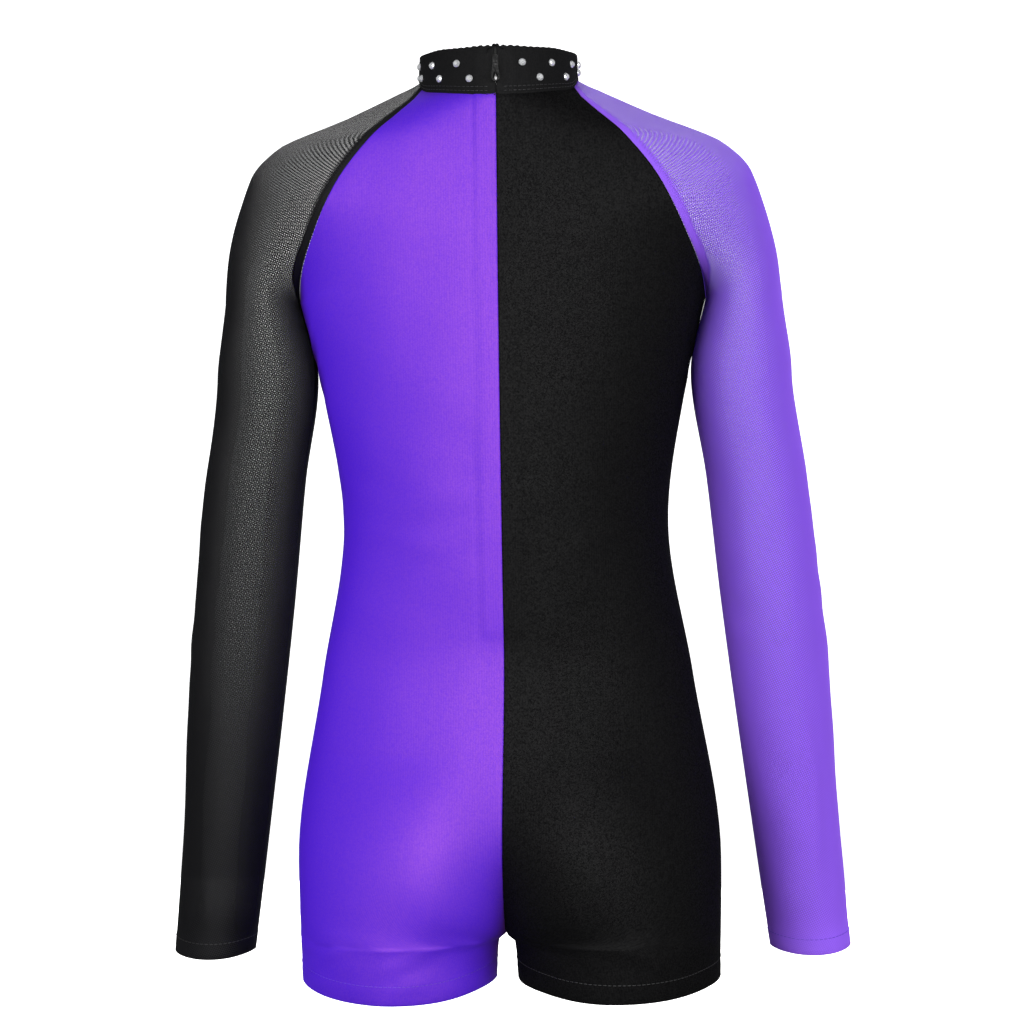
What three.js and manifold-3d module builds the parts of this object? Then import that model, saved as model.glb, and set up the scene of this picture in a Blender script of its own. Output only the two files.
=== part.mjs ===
// Gymnastics unitard: long raglan sleeves in mesh, short legs, mock-neck collar and a back zip.
// Millimetres, +Z up. The wearer faces +Y, so the zip is on the -Y side and the wearer's left is -X.
// The origin is the centre of the neck opening, level with the nape, where the collar is sewn on.
// Every sheet of cloth is a grid of points on its outer face, given its own thickness inwards.

import * as THREE from 'three';
import { mergeVertices } from 'three/addons/utils/BufferGeometryUtils.js';
import Module from 'manifold-3d';

const wasm = await Module();
wasm.setup();

// ---------- Driving dimensions ----------

// Drops below the nape.
const drop = { armpit: 124, waist: 268, zipEnd: 328, seat: 484, crotch: 533, cuff: 547, hem: 569 };

// Half widths of the body, from its middle plane to the side seam.
const half = { neck: 51, chest: 131, waist: 105.3, hip: 136.4, hem: 135 };

// Width of one sleeve across its tube, its depth front to back, and how far it stands off the hip.
const sleeve = { armpitWidth: 49, upperWidth: 65.2, wristWidth: 52.2, armpitDepth: 80, wristDepth: 56 };
const sleeveStandOff = 31.7;
const wristForward = 12;

// The centre back is one circular arc from the collar top to the zip's end, so the zip runs true.
const spine = { radius: 1200, apexDrop: 130, apexY: -59 };

// Front and back of the body, measured from the neck's centre.
const frontY = { chest: 102, waist: 87, belly: 93, hem: 87 };
const backY = { seat: -63, hem: -48 };
const sideSeamY = { shoulder: 15, armpit: 21, waist: 24, seat: 15, hem: 21 };

const collar = { height: 30.6, topHalf: 50.6, sideRise: 15, frontDrop: 20, topFrontDrop: 24 };
const hemBand = { leg: 14, sleeve: 11 };

// How far a hem rises from its middle to its sides, and how far up that is felt.
const hemRise = { leg: 8, sleeve: 3.5, reach: 60 };
const legGap = { crotch: 9.8, hem: 14.4 };

// The inner faces of two sheets lean towards each other at a seam, so its gap grows with the cloth.
const cloth = 1;
const innerCloth = 0.8;
const seamGap = 0.6 * cloth;
const layerGap = 0.3;
const tapeGap = 0.9;
const zipSlit = 1.8;

const tape = { width: 12.4, thick: 0.6, tail: 10 };
const coil = { width: 1.6, thick: 1.6 };
const slider = { length: 9, wall: 0.8, web: 1, play: 0.4, plateHalf: 1.9, plateOut: 0.5, plate: 0.8 };
const lug = { half: 0.7, long: 1.5, wall: 0.5, stand: 0.45, z: -1 };
const pull = { length: 13, width: 5.2, thick: 1, pin: 0.9, pinPlay: 0.3, fork: 0.8, forkTop: 0.7, neck: 3 };
const bite = 0.1;
const stop = { length: 2.2, fromTop: 2 };
const stone = { across: 4.7, table: 2.7, high: 1.7 };
const stoneRows = [
  { count: 15, first: -29, below: 0.34 },
  { count: 14, first: -19, below: 0.67 },
];

// ---------- Colours ----------

const colours = {
  purple: 0x7e3be3,
  black: 0x1c1c1c,
  blackMesh: 0x4a4a4a,
  purpleMesh: 0x8a55ee,
  trim: 0x161616,
  metal: 0x2a2a2c,
  glass: 0xe8ecf5,
};

function knit(colour) {
  return new THREE.MeshStandardMaterial({ color: colour, roughness: 0.6, metalness: 0 });
}

// ---------- Curves ----------

const lerp = THREE.MathUtils.lerp;
const limit = THREE.MathUtils.clamp;

// A smooth curve through a few points that never overshoots them.
function profile(points) {
  const slope = points.slice(1).map((p, i) => (p[1] - points[i][1]) / (p[0] - points[i][0]));
  const tangent = points.map((_, i) => {
    if (i === 0) {
      return slope[0];
    }
    if (i === points.length - 1) {
      return slope[i - 1];
    }
    const [a, b] = [slope[i - 1], slope[i]];
    return a * b <= 0 ? 0 : (2 * a * b) / (a + b);
  });
  return (at) => {
    const x = limit(at, points[0][0], points[points.length - 1][0]);
    const i = Math.min(points.findLastIndex((p) => p[0] <= x), slope.length - 1);
    const span = points[i + 1][0] - points[i][0];
    const t = (x - points[i][0]) / span;
    const rise = points[i + 1][1] - points[i][1];
    const bend = t * (1 - t) ** 2 * tangent[i] - t * t * (1 - t) * tangent[i + 1];
    return points[i][1] + rise * t * t * (3 - 2 * t) + span * bend;
  };
}

// The line of the back under the zip, and below it the swell of the seat.
function spineY(d) {
  return spine.apexY + spine.radius - Math.sqrt(spine.radius ** 2 - (d - spine.apexDrop) ** 2);
}
const spineEnd = drop.zipEnd + tape.tail + 2;
function backLine(d) {
  if (d <= spineEnd) {
    return spineY(d);
  }
  if (d > drop.seat) {
    const t = (d - drop.seat) / (drop.hem - drop.seat);
    return lerp(backY.seat, backY.hem, t * t);
  }
  const span = drop.seat - spineEnd;
  const t = (d - spineEnd) / span;
  const slope = (spineEnd - spine.apexDrop) / (spine.radius - (spineY(spineEnd) - spine.apexY));
  return lerp(spineY(spineEnd), backY.seat, t * t * (3 - 2 * t)) + span * slope * t * (1 - t) ** 2;
}

const neckDepth = -spineY(0);
const shoulderDrop = 0.48 * drop.armpit;
const centreY = profile([
  [0, 0],
  [shoulderDrop, sideSeamY.shoulder],
  [drop.armpit, sideSeamY.armpit],
  [drop.waist, sideSeamY.waist],
  [drop.seat, sideSeamY.seat],
  [drop.hem, sideSeamY.hem],
]);
const frontLine = profile([
  [0, neckDepth],
  [shoulderDrop, lerp(neckDepth, frontY.chest, 0.66)],
  [1.2 * drop.armpit, frontY.chest],
  [drop.waist, frontY.waist],
  [lerp(drop.waist, drop.seat, 0.63), frontY.belly],
  [drop.hem, frontY.hem],
]);
const torsoHalf = profile([
  [drop.armpit, half.chest],
  [lerp(drop.armpit, drop.waist, 0.35), lerp(half.waist, half.chest, 0.53)],
  [drop.waist, half.waist],
  [lerp(drop.waist, drop.seat, 0.45), lerp(half.waist, half.hip, 0.47)],
  [drop.seat, half.hip],
  [drop.hem, half.hem],
]);

// How full the cross-section is: 2 is an ellipse, more is squarer.
const fullness = profile([
  [0, 2],
  [shoulderDrop, 2.6],
  [drop.armpit, 2.4],
  [drop.waist, 2.2],
  [drop.hem, 2.1],
]);

// Outer edge of the shoulder, and the raglan seam, as shares of the way from neck to armpit.
const shoulderShare = profile([
  [0, 0],
  [0.082, 0.3],
  [0.218, 0.723],
  [0.36, 0.858],
  [0.735, 0.96],
  [1, 1],
]);
const raglanShare = profile([
  [0, 0],
  [0.065, 0.135],
  [0.194, 0.37],
  [0.484, 0.69],
  [0.726, 0.83],
  [1, 1],
]);
const raglanNeck = { back: 0.95 * half.neck, front: 0.75 * half.neck };
const shoulderHalf = (d) =>
  lerp(half.neck, half.chest + sleeve.armpitWidth, shoulderShare(d / drop.armpit));
const raglanX = (d, facing) => lerp(raglanNeck[facing], half.chest, raglanShare(d / drop.armpit));

// The neckline stays low across the back and climbs steeply at the sides.
const sideClimb = (share) => collar.sideRise * (0.5 * share ** 2 + 0.5 * share ** 24);

// Rows that leave the neckline follow its rise at the sides and its dip in front, then level out.
const fade = (d, reach) => Math.max(0, 1 - d / reach) ** 2;
function neckLift(angle, facing, d) {
  const rise = sideClimb(Math.cos(angle)) * fade(d, 0.26 * drop.armpit);
  const dip = facing === 'front' ? collar.frontDrop * Math.sin(angle) ** 2 : 0;
  return rise - dip * fade(d, 0.56 * drop.armpit);
}

// A hem's sides rise a little from its middle.
function hemLift(angle, rise, hem, d) {
  return rise * Math.cos(angle) ** 2 * Math.max(0, 1 - (hem - d) / hemRise.reach) ** 2;
}

// ---------- Cross-sections ----------

// A half body's outline at one level runs from the centre seam (angle 0 is the inner leg) over the
// back or front (a right angle) to the side (a straight angle).
const samples = 60;
const power = (base, exponent) => Math.sign(base) * Math.abs(base) ** exponent;
function outlineAt(d, facing, angle, centreX, reachX) {
  const reachY = facing === 'back' ? centreY(d) - backLine(d) : centreY(d) - frontLine(d);
  const n = fullness(d);
  return new THREE.Vector3(
    centreX - reachX * power(Math.cos(angle), 2 / n),
    centreY(d) - reachY * power(Math.sin(angle), 2 / n),
    neckLift(angle, facing, d) + hemLift(angle, hemRise.leg, drop.hem, d) - d,
  );
}

// Distance of the centre seam, or of the inner leg, from the middle plane.
const innerLeg = profile([
  [drop.crotch, seamGap / 2],
  [lerp(drop.crotch, drop.hem, 0.14), legGap.crotch / 2],
  [drop.hem, legGap.hem / 2],
]);
function innerX(d, facing) {
  return facing === 'back' && d <= drop.zipEnd ? zipSlit / 2 : innerLeg(d);
}

// The rise: the centre seam turns forward from the seat, or back from the belly, to the crotch.
const riseStart = { back: drop.crotch - 118, front: drop.crotch - 100 };
const riseShare = (d, facing) =>
  limit((d - riseStart[facing]) / (drop.crotch - riseStart[facing]), 0, 1);

// How far the raglan seam has turned under the arm.
function underarm(d) {
  const k = limit((d - shoulderDrop) / (drop.armpit - shoulderDrop), 0, 1);
  return 1 - (1 - k ** 1.6) ** 0.75;
}

// A point of the raglan seam, on the full outline of body and sleeve together.
function raglanAngle(d, facing) {
  const inner = innerX(d, facing);
  const share = (raglanX(d, facing) - inner) / (shoulderHalf(d) - inner);
  return Math.PI - Math.acos(Math.min(1, share) ** (fullness(d) / 2));
}
function raglanPoint(d, facing) {
  const inner = innerX(d, facing);
  const angle = raglanAngle(d, facing);
  const open = outlineAt(d, facing, angle, inner, shoulderHalf(d) - inner);
  return open.lerp(new THREE.Vector3(half.chest, centreY(d), open.z), underarm(d));
}

function evenly(points, cells) {
  const curve = new THREE.CatmullRomCurve3(points, false, 'catmullrom', 0.5);
  curve.arcLengthDivisions = 400;
  return curve.getSpacedPoints(cells);
}

// One row of a body panel, from the centre seam to the raglan seam or side seam.
function panelRow(d, facing, cells) {
  const inner = innerX(d, facing);
  const k = riseShare(d, facing);
  const n = fullness(d);
  let centreX = inner;
  let reachX = torsoHalf(d) - inner;
  let end = Math.PI;
  if (d < drop.armpit) {
    const seam = raglanPoint(d, facing);
    const reachY = Math.abs((facing === 'back' ? backLine(d) : frontLine(d)) - centreY(d));
    const depthShare = Math.min(1, Math.abs(seam.y - centreY(d)) / reachY);
    reachX = (seam.x - inner) / (1 - depthShare ** n) ** (1 / n);
    end = Math.PI - Math.acos(Math.min(1, (seam.x - inner) / reachX) ** (n / 2));
  } else {
    centreX = (inner + k * torsoHalf(d)) / (1 + k);
    reachX = torsoHalf(d) - centreX;
  }
  const start = Math.acos(k ** (n / 2));
  const points = [];
  for (let i = 0; i <= samples; i += 1) {
    points.push(outlineAt(d, facing, lerp(start, end, i / samples), centreX, reachX));
  }
  const row = evenly(points, cells);
  const away = facing === 'back' ? -1 : 1;
  row[cells].add(new THREE.Vector3(-seamGap / 2, (away * seamGap) / 2, 0));
  row[0].y += k === 1 ? (away * seamGap) / 2 : 0;
  return row;
}

// The sleeve's tube below the armpit: its inner edge, width, depth and middle.
const elbowDrop = lerp(drop.armpit, drop.cuff, 0.46);
const tuckDrop = lerp(drop.armpit, drop.cuff, 0.113);
const tuckX = torsoHalf(tuckDrop) + 3;
const cuffX = half.hip + sleeveStandOff;
const tubeInner = profile([
  [drop.armpit, half.chest + 0.1],
  [tuckDrop, tuckX],
  [lerp(drop.armpit, drop.cuff, 0.27), lerp(tuckX, cuffX, 0.195)],
  [elbowDrop, lerp(tuckX, cuffX, 0.375)],
  [drop.cuff, cuffX],
]);
const tubeWidth = profile([
  [drop.armpit, sleeve.armpitWidth],
  [tuckDrop, sleeve.upperWidth],
  [elbowDrop, sleeve.upperWidth],
  [lerp(drop.armpit, drop.cuff, 0.856), lerp(sleeve.wristWidth, sleeve.upperWidth, 0.22)],
  [drop.cuff, sleeve.wristWidth],
]);
const tubeDepth = profile([
  [drop.armpit, sleeve.armpitDepth],
  [elbowDrop, lerp(sleeve.wristDepth, sleeve.armpitDepth, 0.6)],
  [drop.cuff, sleeve.wristDepth],
]);
const tubeY = profile([
  [drop.armpit, sideSeamY.armpit],
  [drop.cuff, sideSeamY.armpit + wristForward],
]);
const tubeFullness = 2.15;

// One row of a sleeve, from the back raglan seam round the outside to the front one.
function sleeveRow(d, cells) {
  const tube = Math.max(d, drop.armpit);
  const reach = tubeWidth(tube) / 2;
  const ring = [];
  for (let i = 0; i <= samples; i += 1) {
    const angle = (2 * Math.PI * i) / samples;
    ring.push(new THREE.Vector3(
      tubeInner(tube) + reach - reach * power(Math.cos(angle), 2 / tubeFullness),
      tubeY(tube) - (tubeDepth(tube) / 2) * power(Math.sin(angle), 2 / tubeFullness),
      hemLift(angle, hemRise.sleeve, drop.cuff, d) - d,
    ));
  }
  const row = evenly(ring, cells);
  if (d < drop.armpit) {
    const [from, to] = [raglanAngle(d, 'back'), 2 * Math.PI - raglanAngle(d, 'front')];
    const inner = seamGap / 2;
    const open = [];
    for (let i = 0; i <= samples; i += 1) {
      const angle = lerp(from, to, i / samples);
      const facing = angle <= Math.PI ? 'back' : 'front';
      const folded = angle <= Math.PI ? angle : 2 * Math.PI - angle;
      open.push(outlineAt(d, facing, folded, inner, shoulderHalf(d) - inner));
    }
    evenly(open, cells).forEach((point, i) => row[i].lerpVectors(point, row[i], underarm(d)));
    row[0].copy(raglanPoint(d, 'back'));
    row[cells].copy(raglanPoint(d, 'front'));
  }
  row[0].add(new THREE.Vector3(seamGap / 2, -seamGap / 2, 0));
  row[cells].add(new THREE.Vector3(seamGap / 2, seamGap / 2, 0));
  return row;
}

// A point on the collar's outer face: turn is measured from the centre back, up runs 0 to 1.
function collarPoint(turn, up) {
  const [s, c] = [Math.sin(turn), Math.cos(turn)];
  const inFront = c < 0 ? c * c : 0;
  const low = sideClimb(s) - collar.frontDrop * inFront;
  const high = collar.height - collar.topFrontDrop * inFront;
  return new THREE.Vector3(
    lerp(half.neck, collar.topHalf, up) * s,
    lerp(-neckDepth, spineY(-collar.height), up) * c,
    lerp(low, high, up),
  );
}

// The skin's place next to the centre back, on the collar and on the body alike.
function skinY(x, d) {
  if (d < 0) {
    return spineY(d) * Math.sqrt(1 - (x / half.neck) ** 2);
  }
  const reach = d < drop.armpit ? shoulderHalf(d) : torsoHalf(d);
  const n = fullness(d);
  return centreY(d) + (spineY(d) - centreY(d)) * (1 - (Math.abs(x) / reach) ** n) ** (1 / n);
}

// ---------- Solids ----------

function solidFrom(triangles) {
  const positions = [];
  triangles.forEach((triangle) => triangle.forEach((p) => positions.push(p.x, p.y, p.z)));
  let volume = 0;
  triangles.forEach(([a, b, c]) => {
    volume += a.dot(new THREE.Vector3().crossVectors(b, c));
  });
  if (volume < 0) {
    for (let i = 0; i < positions.length; i += 9) {
      const second = positions.slice(i + 3, i + 6);
      positions.splice(i + 3, 6, ...positions.slice(i + 6, i + 9), ...second);
    }
  }
  const geometry = new THREE.BufferGeometry();
  geometry.setAttribute('position', new THREE.Float32BufferAttribute(positions, 3));
  return mergeVertices(geometry, 1e-4);
}

const quad = (a, b, c, d) => [[a, b, c], [a, c, d]];

// Gives a grid of points thickness: from the depth `under` its face down to `under` + `thick`.
// A wrapped grid is a ring, whose last column joins its first.
function sheet(grid, thick, under = 0, wrapped = false) {
  const [rows, columns] = [grid.length, grid[0].length];
  const wrap = (j) => (wrapped ? (j + columns) % columns : limit(j, 0, columns - 1));
  const sunk = (depth) => grid.map((row, i) => row.map((point, j) => {
    const along = new THREE.Vector3().subVectors(row[wrap(j + 1)], row[wrap(j - 1)]);
    const [above, below] = [grid[Math.max(i - 1, 0)], grid[Math.min(i + 1, rows - 1)]];
    const down = new THREE.Vector3().subVectors(below[j], above[j]);
    const inward = new THREE.Vector3().crossVectors(along, down).normalize();
    return point.clone().addScaledVector(inward, depth);
  }));
  const [outer, inner] = [sunk(under), sunk(under + thick)];
  const lastCell = wrapped ? columns : columns - 1;
  const faces = [];
  for (let j = 0; j < lastCell; j += 1) {
    const k = wrap(j + 1);
    for (let i = 0; i + 1 < rows; i += 1) {
      faces.push(...quad(outer[i][j], outer[i][k], outer[i + 1][k], outer[i + 1][j]));
      faces.push(...quad(inner[i][j], inner[i + 1][j], inner[i + 1][k], inner[i][k]));
    }
    const last = rows - 1;
    faces.push(...quad(outer[0][j], inner[0][j], inner[0][k], outer[0][k]));
    faces.push(...quad(outer[last][j], outer[last][k], inner[last][k], inner[last][j]));
  }
  if (!wrapped) {
    for (let i = 0; i + 1 < rows; i += 1) {
      const end = columns - 1;
      faces.push(...quad(outer[i][0], outer[i + 1][0], inner[i + 1][0], inner[i][0]));
      faces.push(...quad(outer[i][end], inner[i][end], inner[i + 1][end], outer[i + 1][end]));
    }
  }
  return solidFrom(faces);
}

const mirrored = (grid) =>
  grid.map((row) => row.map((p) => new THREE.Vector3(-p.x, p.y, p.z)).reverse());

// A strip along the zip: each section is a four-cornered outline at one drop.
function zipStrip(side, nearX, farX, under, thick, fromDrop, toDrop, steps) {
  const at = (x, depth, d) => {
    const lean = Math.asin((d - spine.apexDrop) / spine.radius);
    const y = skinY(x, d) + depth * Math.cos(lean);
    return new THREE.Vector3(side * x, y, -d + depth * Math.sin(lean));
  };
  const sections = [];
  for (let i = 0; i <= steps; i += 1) {
    const d = lerp(fromDrop, toDrop, i / steps);
    const middle = lerp(nearX, farX, 0.5);
    sections.push([
      at(nearX, under, d),
      at(middle, under, d),
      at(farX, under, d),
      at(farX, under + thick, d),
      at(middle, under + thick, d),
      at(nearX, under + thick, d),
    ]);
  }
  const faces = [];
  for (let i = 0; i < steps; i += 1) {
    for (let j = 0; j < 6; j += 1) {
      const k = (j + 1) % 6;
      faces.push(...quad(sections[i][j], sections[i + 1][j], sections[i + 1][k], sections[i][k]));
    }
  }
  [sections[0], [...sections[steps]].reverse()].forEach(([a, b, c, d, e, f]) => {
    faces.push(...quad(a, b, e, f), ...quad(b, c, d, e));
  });
  return solidFrom(faces);
}

function toManifold(geometry, matrix) {
  const bare = geometry.clone().applyMatrix4(matrix);
  bare.deleteAttribute('normal');
  bare.deleteAttribute('uv');
  const merged = mergeVertices(bare, 1e-4);
  const vertProperties = new Float32Array(merged.attributes.position.array);
  const triVerts = new Uint32Array(merged.index.array);
  return new wasm.Manifold(new wasm.Mesh({ numProp: 3, vertProperties, triVerts }));
}

function fromManifold(solid) {
  const { vertProperties, triVerts } = solid.getMesh();
  const geometry = new THREE.BufferGeometry();
  geometry.setAttribute('position', new THREE.BufferAttribute(vertProperties, 3));
  geometry.setIndex(new THREE.BufferAttribute(triVerts, 1));
  return geometry;
}

// ---------- Model ----------

const garment = new THREE.Group();

function add(name, geometry, material, parent = garment) {
  const mesh = new THREE.Mesh(geometry, material);
  mesh.name = name;
  parent.add(mesh);
  return mesh;
}

// Rows shared by the body panels and the sleeves, so that the raglan seams match.
const yokeRows = [0, 0.025, 0.065, 0.13, 0.194, 0.26, 0.36].map((share) => share * drop.armpit);
for (const turn of [0, 22.5, 45, 67.5]) {
  const share = Math.sin(THREE.MathUtils.degToRad(turn));
  yokeRows.push(lerp(shoulderDrop, drop.armpit, share));
}
const spread = (from, to, cells) =>
  Array.from({ length: cells }, (_, i) => lerp(from, to, i / cells));

function panelRows(facing) {
  const rows = [...yokeRows, ...spread(drop.armpit, drop.zipEnd, 8), drop.zipEnd];
  const start = riseStart[facing];
  rows.push(...spread(drop.zipEnd + 4, start, 3));
  for (const turn of [0, 18, 36, 54, 72]) {
    rows.push(lerp(start, drop.crotch, Math.sin(THREE.MathUtils.degToRad(turn))));
  }
  rows.push(drop.crotch, lerp(drop.crotch, drop.hem, 0.14), drop.hem - hemBand.leg, drop.hem);
  return rows;
}

// The top row steps down from the collar by the seam's gap.
function lowerTop(grid) {
  grid[0].forEach((point) => point.add(new THREE.Vector3(0, 0, -seamGap)));
  return grid;
}

const panelCells = 7;
const sleeveCells = 12;
const backGrid = lowerTop(panelRows('back').map((d) => panelRow(d, 'back', panelCells)));
const frontGrid = lowerTop(panelRows('front').map((d) => panelRow(d, 'front', panelCells)));
const sleeveRows = [...yokeRows, ...spread(drop.armpit, drop.cuff - hemBand.sleeve, 11)];
sleeveRows.push(drop.cuff - hemBand.sleeve, drop.cuff);
const sleeveGrid = lowerTop(sleeveRows.map((d) => sleeveRow(d, sleeveCells)));
const frontFacing = frontGrid.map((row) => [...row].reverse());

const finish = {
  left: { body: knit(colours.purple), sleeve: knit(colours.blackMesh) },
  right: { body: knit(colours.black), sleeve: knit(colours.purpleMesh) },
};

// A ring inside the hem, made of both panels' last rows or of the sleeve's.
function hemRing(grids, rows) {
  return rows.map((r) => grids.flatMap((grid) => grid[grid.length - r].slice(0, -1)));
}

const legRings = hemRing([backGrid, frontFacing], [2, 1]);
const cuffRings = hemRing([sleeveGrid], [2, 1]);

for (const side of ['left', 'right']) {
  const place = (grid) => (side === 'left' ? mirrored(grid) : grid);
  const look = finish[side];
  add(`back_${side}_panel`, sheet(place(backGrid), cloth), look.body);
  add(`front_${side}_panel`, sheet(place(frontFacing), cloth), look.body);
  add(`${side}_sleeve`, sheet(place(sleeveGrid), cloth), look.sleeve);
  const under = cloth + layerGap;
  add(`${side}_leg_hem`, sheet(place(legRings), innerCloth, under, true), look.body);
  add(`${side}_sleeve_hem`, sheet(place(cuffRings), innerCloth, under, true), look.sleeve);
}

// Collar: an outer band and a facing inside it, both open at the back for the zip.
function collarGrid(openHalf, rows, cells) {
  const start = Math.asin(openHalf / half.neck);
  const turnAt = (j) => lerp(start, 2 * Math.PI - start, j / cells);
  return rows.map((up) => Array.from({ length: cells + 1 }, (_, j) => collarPoint(turnAt(j), up)));
}
const facingUnder = cloth + tapeGap + tape.thick + layerGap;
const sliderClearance = 2.5;
const facingOpenHalf = coil.width + zipSlit / 2 + slider.play + slider.wall + sliderClearance;
const collarLook = knit(colours.black);
const collarCells = 28;
const bandRows = { outer: [1, 0.5, 0], facing: [0.96, 0.1] };
const outerBand = collarGrid(zipSlit / 2, bandRows.outer, collarCells);
const facingBand = collarGrid(facingOpenHalf, bandRows.facing, collarCells - 2);
add('collar_outer', sheet(outerBand, cloth), collarLook);
add('collar_facing', sheet(facingBand, innerCloth, facingUnder), collarLook);

// Zip: two tapes, two coils and their stops, all inside the slit.
const trim = knit(colours.trim);
const metal = new THREE.MeshStandardMaterial({ color: colours.metal, roughness: 0.35, metalness: 0.8 });
const top = -collar.height;
const coilNear = slider.web / 2 + layerGap;
const coilFar = coilNear + coil.width;
const tapeUnder = cloth + tapeGap;
const coilUnder = tapeUnder + tape.thick + layerGap;
const coilTop = top + stop.fromTop + stop.length + layerGap;
const coilEnd = drop.zipEnd - stop.length - layerGap;
const tapeTop = top + stop.fromTop;
const tapeEnd = drop.zipEnd + tape.tail;
const stopEnd = tapeTop + stop.length;
const zipSteps = 16;
for (const [name, side] of [['left', -1], ['right', 1]]) {
  const tapeFar = coilNear + tape.width;
  const band = zipStrip(side, coilNear, tapeFar, tapeUnder, tape.thick, tapeTop, tapeEnd, zipSteps);
  const teeth = zipStrip(side, coilNear, coilFar, coilUnder, coil.thick, coilTop, coilEnd, zipSteps);
  const clamp = zipStrip(side, coilNear, coilFar, coilUnder, coil.thick, tapeTop, stopEnd, 1);
  add(`zip_tape_${name}`, band, trim);
  add(`zip_coil_${name}`, teeth, trim);
  add(`zip_top_stop_${name}`, clamp, metal);
}
const stopStart = drop.zipEnd - stop.length;
const bridge = zipStrip(1, -coilFar, coilFar, coilUnder, coil.thick, stopStart, drop.zipEnd, 1);
add('zip_bottom_stop', bridge, metal);

// Slider and pull are built on the zip's arc: y is the distance out from its centre, z runs along it.
const restDrop = top + stop.fromTop + stop.length + 2 * layerGap + slider.length / 2;
const arc = new THREE.Group();
arc.position.set(0, spine.apexY + spine.radius, -spine.apexDrop);
arc.rotation.x = Math.asin((restDrop - spine.apexDrop) / spine.radius);
garment.add(arc);

function block([x0, x1], [out0, out1], [z0, z1]) {
  const box = new THREE.BoxGeometry(x1 - x0, out1 - out0, z1 - z0);
  const middleOut = -spine.radius - (out0 + out1) / 2;
  const place = new THREE.Matrix4().makeTranslation((x0 + x1) / 2, middleOut, (z0 + z1) / 2);
  return toManifold(box, place);
}
const both = (size) => [-size, size];
function crossPin(radius, halfLength, out, z) {
  const pin = new THREE.CylinderGeometry(radius, radius, 2 * halfLength, 12).rotateZ(Math.PI / 2);
  return toManifold(pin, new THREE.Matrix4().makeTranslation(0, -spine.radius - out, z));
}

const long = slider.length / 2;
const floorOut = -(coilUnder + coil.thick + slider.play);
const wallNear = coilFar + slider.play;
const wallFar = wallNear + slider.wall;
const plateOut = slider.plateOut + slider.plate;
const pinHole = pull.pin / 2 + pull.pinPlay;
const pinOut = plateOut + pinHole + lug.stand;
const lugOut = pinOut + pinHole + lug.wall;
const lugSpan = [lug.z - lug.long, lug.z + lug.long];
const wallSpan = [floorOut - bite, -coilUnder];
const sliderSolid = block(both(wallFar), [floorOut - slider.wall, floorOut], both(long))
  .add(block([wallNear, wallFar], wallSpan, both(long)))
  .add(block([-wallFar, -wallNear], wallSpan, both(long)))
  .add(block(both(slider.web / 2), [floorOut - bite, slider.plateOut + bite], both(0.6 * long)))
  .add(block(both(slider.plateHalf), [slider.plateOut, plateOut], both(0.8 * long)))
  .add(block(both(lug.half), [plateOut - bite, lugOut], lugSpan))
  .subtract(crossPin(pinHole, 2 * lug.half, pinOut, lug.z));
add('zip_slider', fromManifold(sliderSolid), metal, arc);

// The pull: a teardrop plate, forked round the lug, on a pin through the lug's hole.
const forkNear = lug.half + layerGap;
const forkFar = forkNear + pull.fork;
const bulb = pull.width / 2;
const tail = pull.length - bulb;
const bend = -0.6 * tail;
const dropShape = new THREE.Shape();
dropShape.moveTo(-forkFar, pull.forkTop);
dropShape.lineTo(-forkFar, -pull.neck);
dropShape.quadraticCurveTo(-bulb, bend, -bulb, -tail);
dropShape.absarc(0, -tail, bulb, Math.PI, 2 * Math.PI, false);
dropShape.quadraticCurveTo(bulb, bend, forkFar, -pull.neck);
dropShape.lineTo(forkFar, pull.forkTop);
dropShape.closePath();
const plateShape = { depth: pull.thick, bevelEnabled: false, curveSegments: 5 };
const plate = new THREE.ExtrudeGeometry(dropShape, plateShape).rotateX(Math.PI / 2);
const plateAt = new THREE.Matrix4().makeTranslation(0, -spine.radius - pinOut + pull.thick / 2, lug.z);
const slotEnd = lug.z - Math.hypot(lug.long, lugOut - pinOut) - layerGap;
const slotOut = [pinOut - pull.thick, pinOut + pull.thick];
const pullSolid = toManifold(plate, plateAt)
  .subtract(block(both(forkNear), slotOut, [slotEnd, lug.z + pull.forkTop + bite]))
  .add(crossPin(pull.pin / 2, forkNear + bite, pinOut, lug.z));
add('zip_pull', fromManifold(pullSolid), metal, arc);

// Two rows of flat-backed stones round the collar, left out where the zip runs.
const glass = new THREE.MeshStandardMaterial({ color: colours.glass, roughness: 0.05, metalness: 0 });
const clearOfZip = THREE.MathUtils.degToRad(10);
const nudge = 0.01;
stoneRows.forEach((row, r) => {
  let number = 0;
  for (let i = 0; i < row.count; i += 1) {
    const turn = THREE.MathUtils.degToRad(row.first + (360 / row.count) * i);
    if (Math.abs(Math.atan2(Math.sin(turn), Math.cos(turn))) > clearOfZip) {
      number += 1;
      const up = 1 - row.below;
      const seat = collarPoint(turn, up);
      const acrossFace = collarPoint(turn + nudge, up).sub(collarPoint(turn - nudge, up));
      const upFace = collarPoint(turn, up + nudge).sub(collarPoint(turn, up - nudge));
      const out = acrossFace.cross(upFace).normalize();
      const gem = new THREE.CylinderGeometry(stone.table / 2, stone.across / 2, stone.high, 8);
      gem.translate(0, stone.high / 2 + layerGap, 0);
      const mesh = add(`rhinestone_${r === 0 ? 'upper' : 'lower'}_${number}`, gem, glass);
      mesh.position.copy(seat);
      mesh.quaternion.setFromUnitVectors(new THREE.Vector3(0, 1, 0), out);
    }
  }
});

export default garment;
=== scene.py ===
# %% [markdown]
# # A gymnastics leotard, seen from the back
# This lesson dresses a packed mechanical model in cloth. The model gives the true sizes, the zip's
# two joints and the name of every part. Each soft part is rebuilt here as a fine sheet of fabric in
# the same place, with its folded edges, stitches and wrinkles, and each sheet rides on its body.

# %% Load the model
import math

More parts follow.
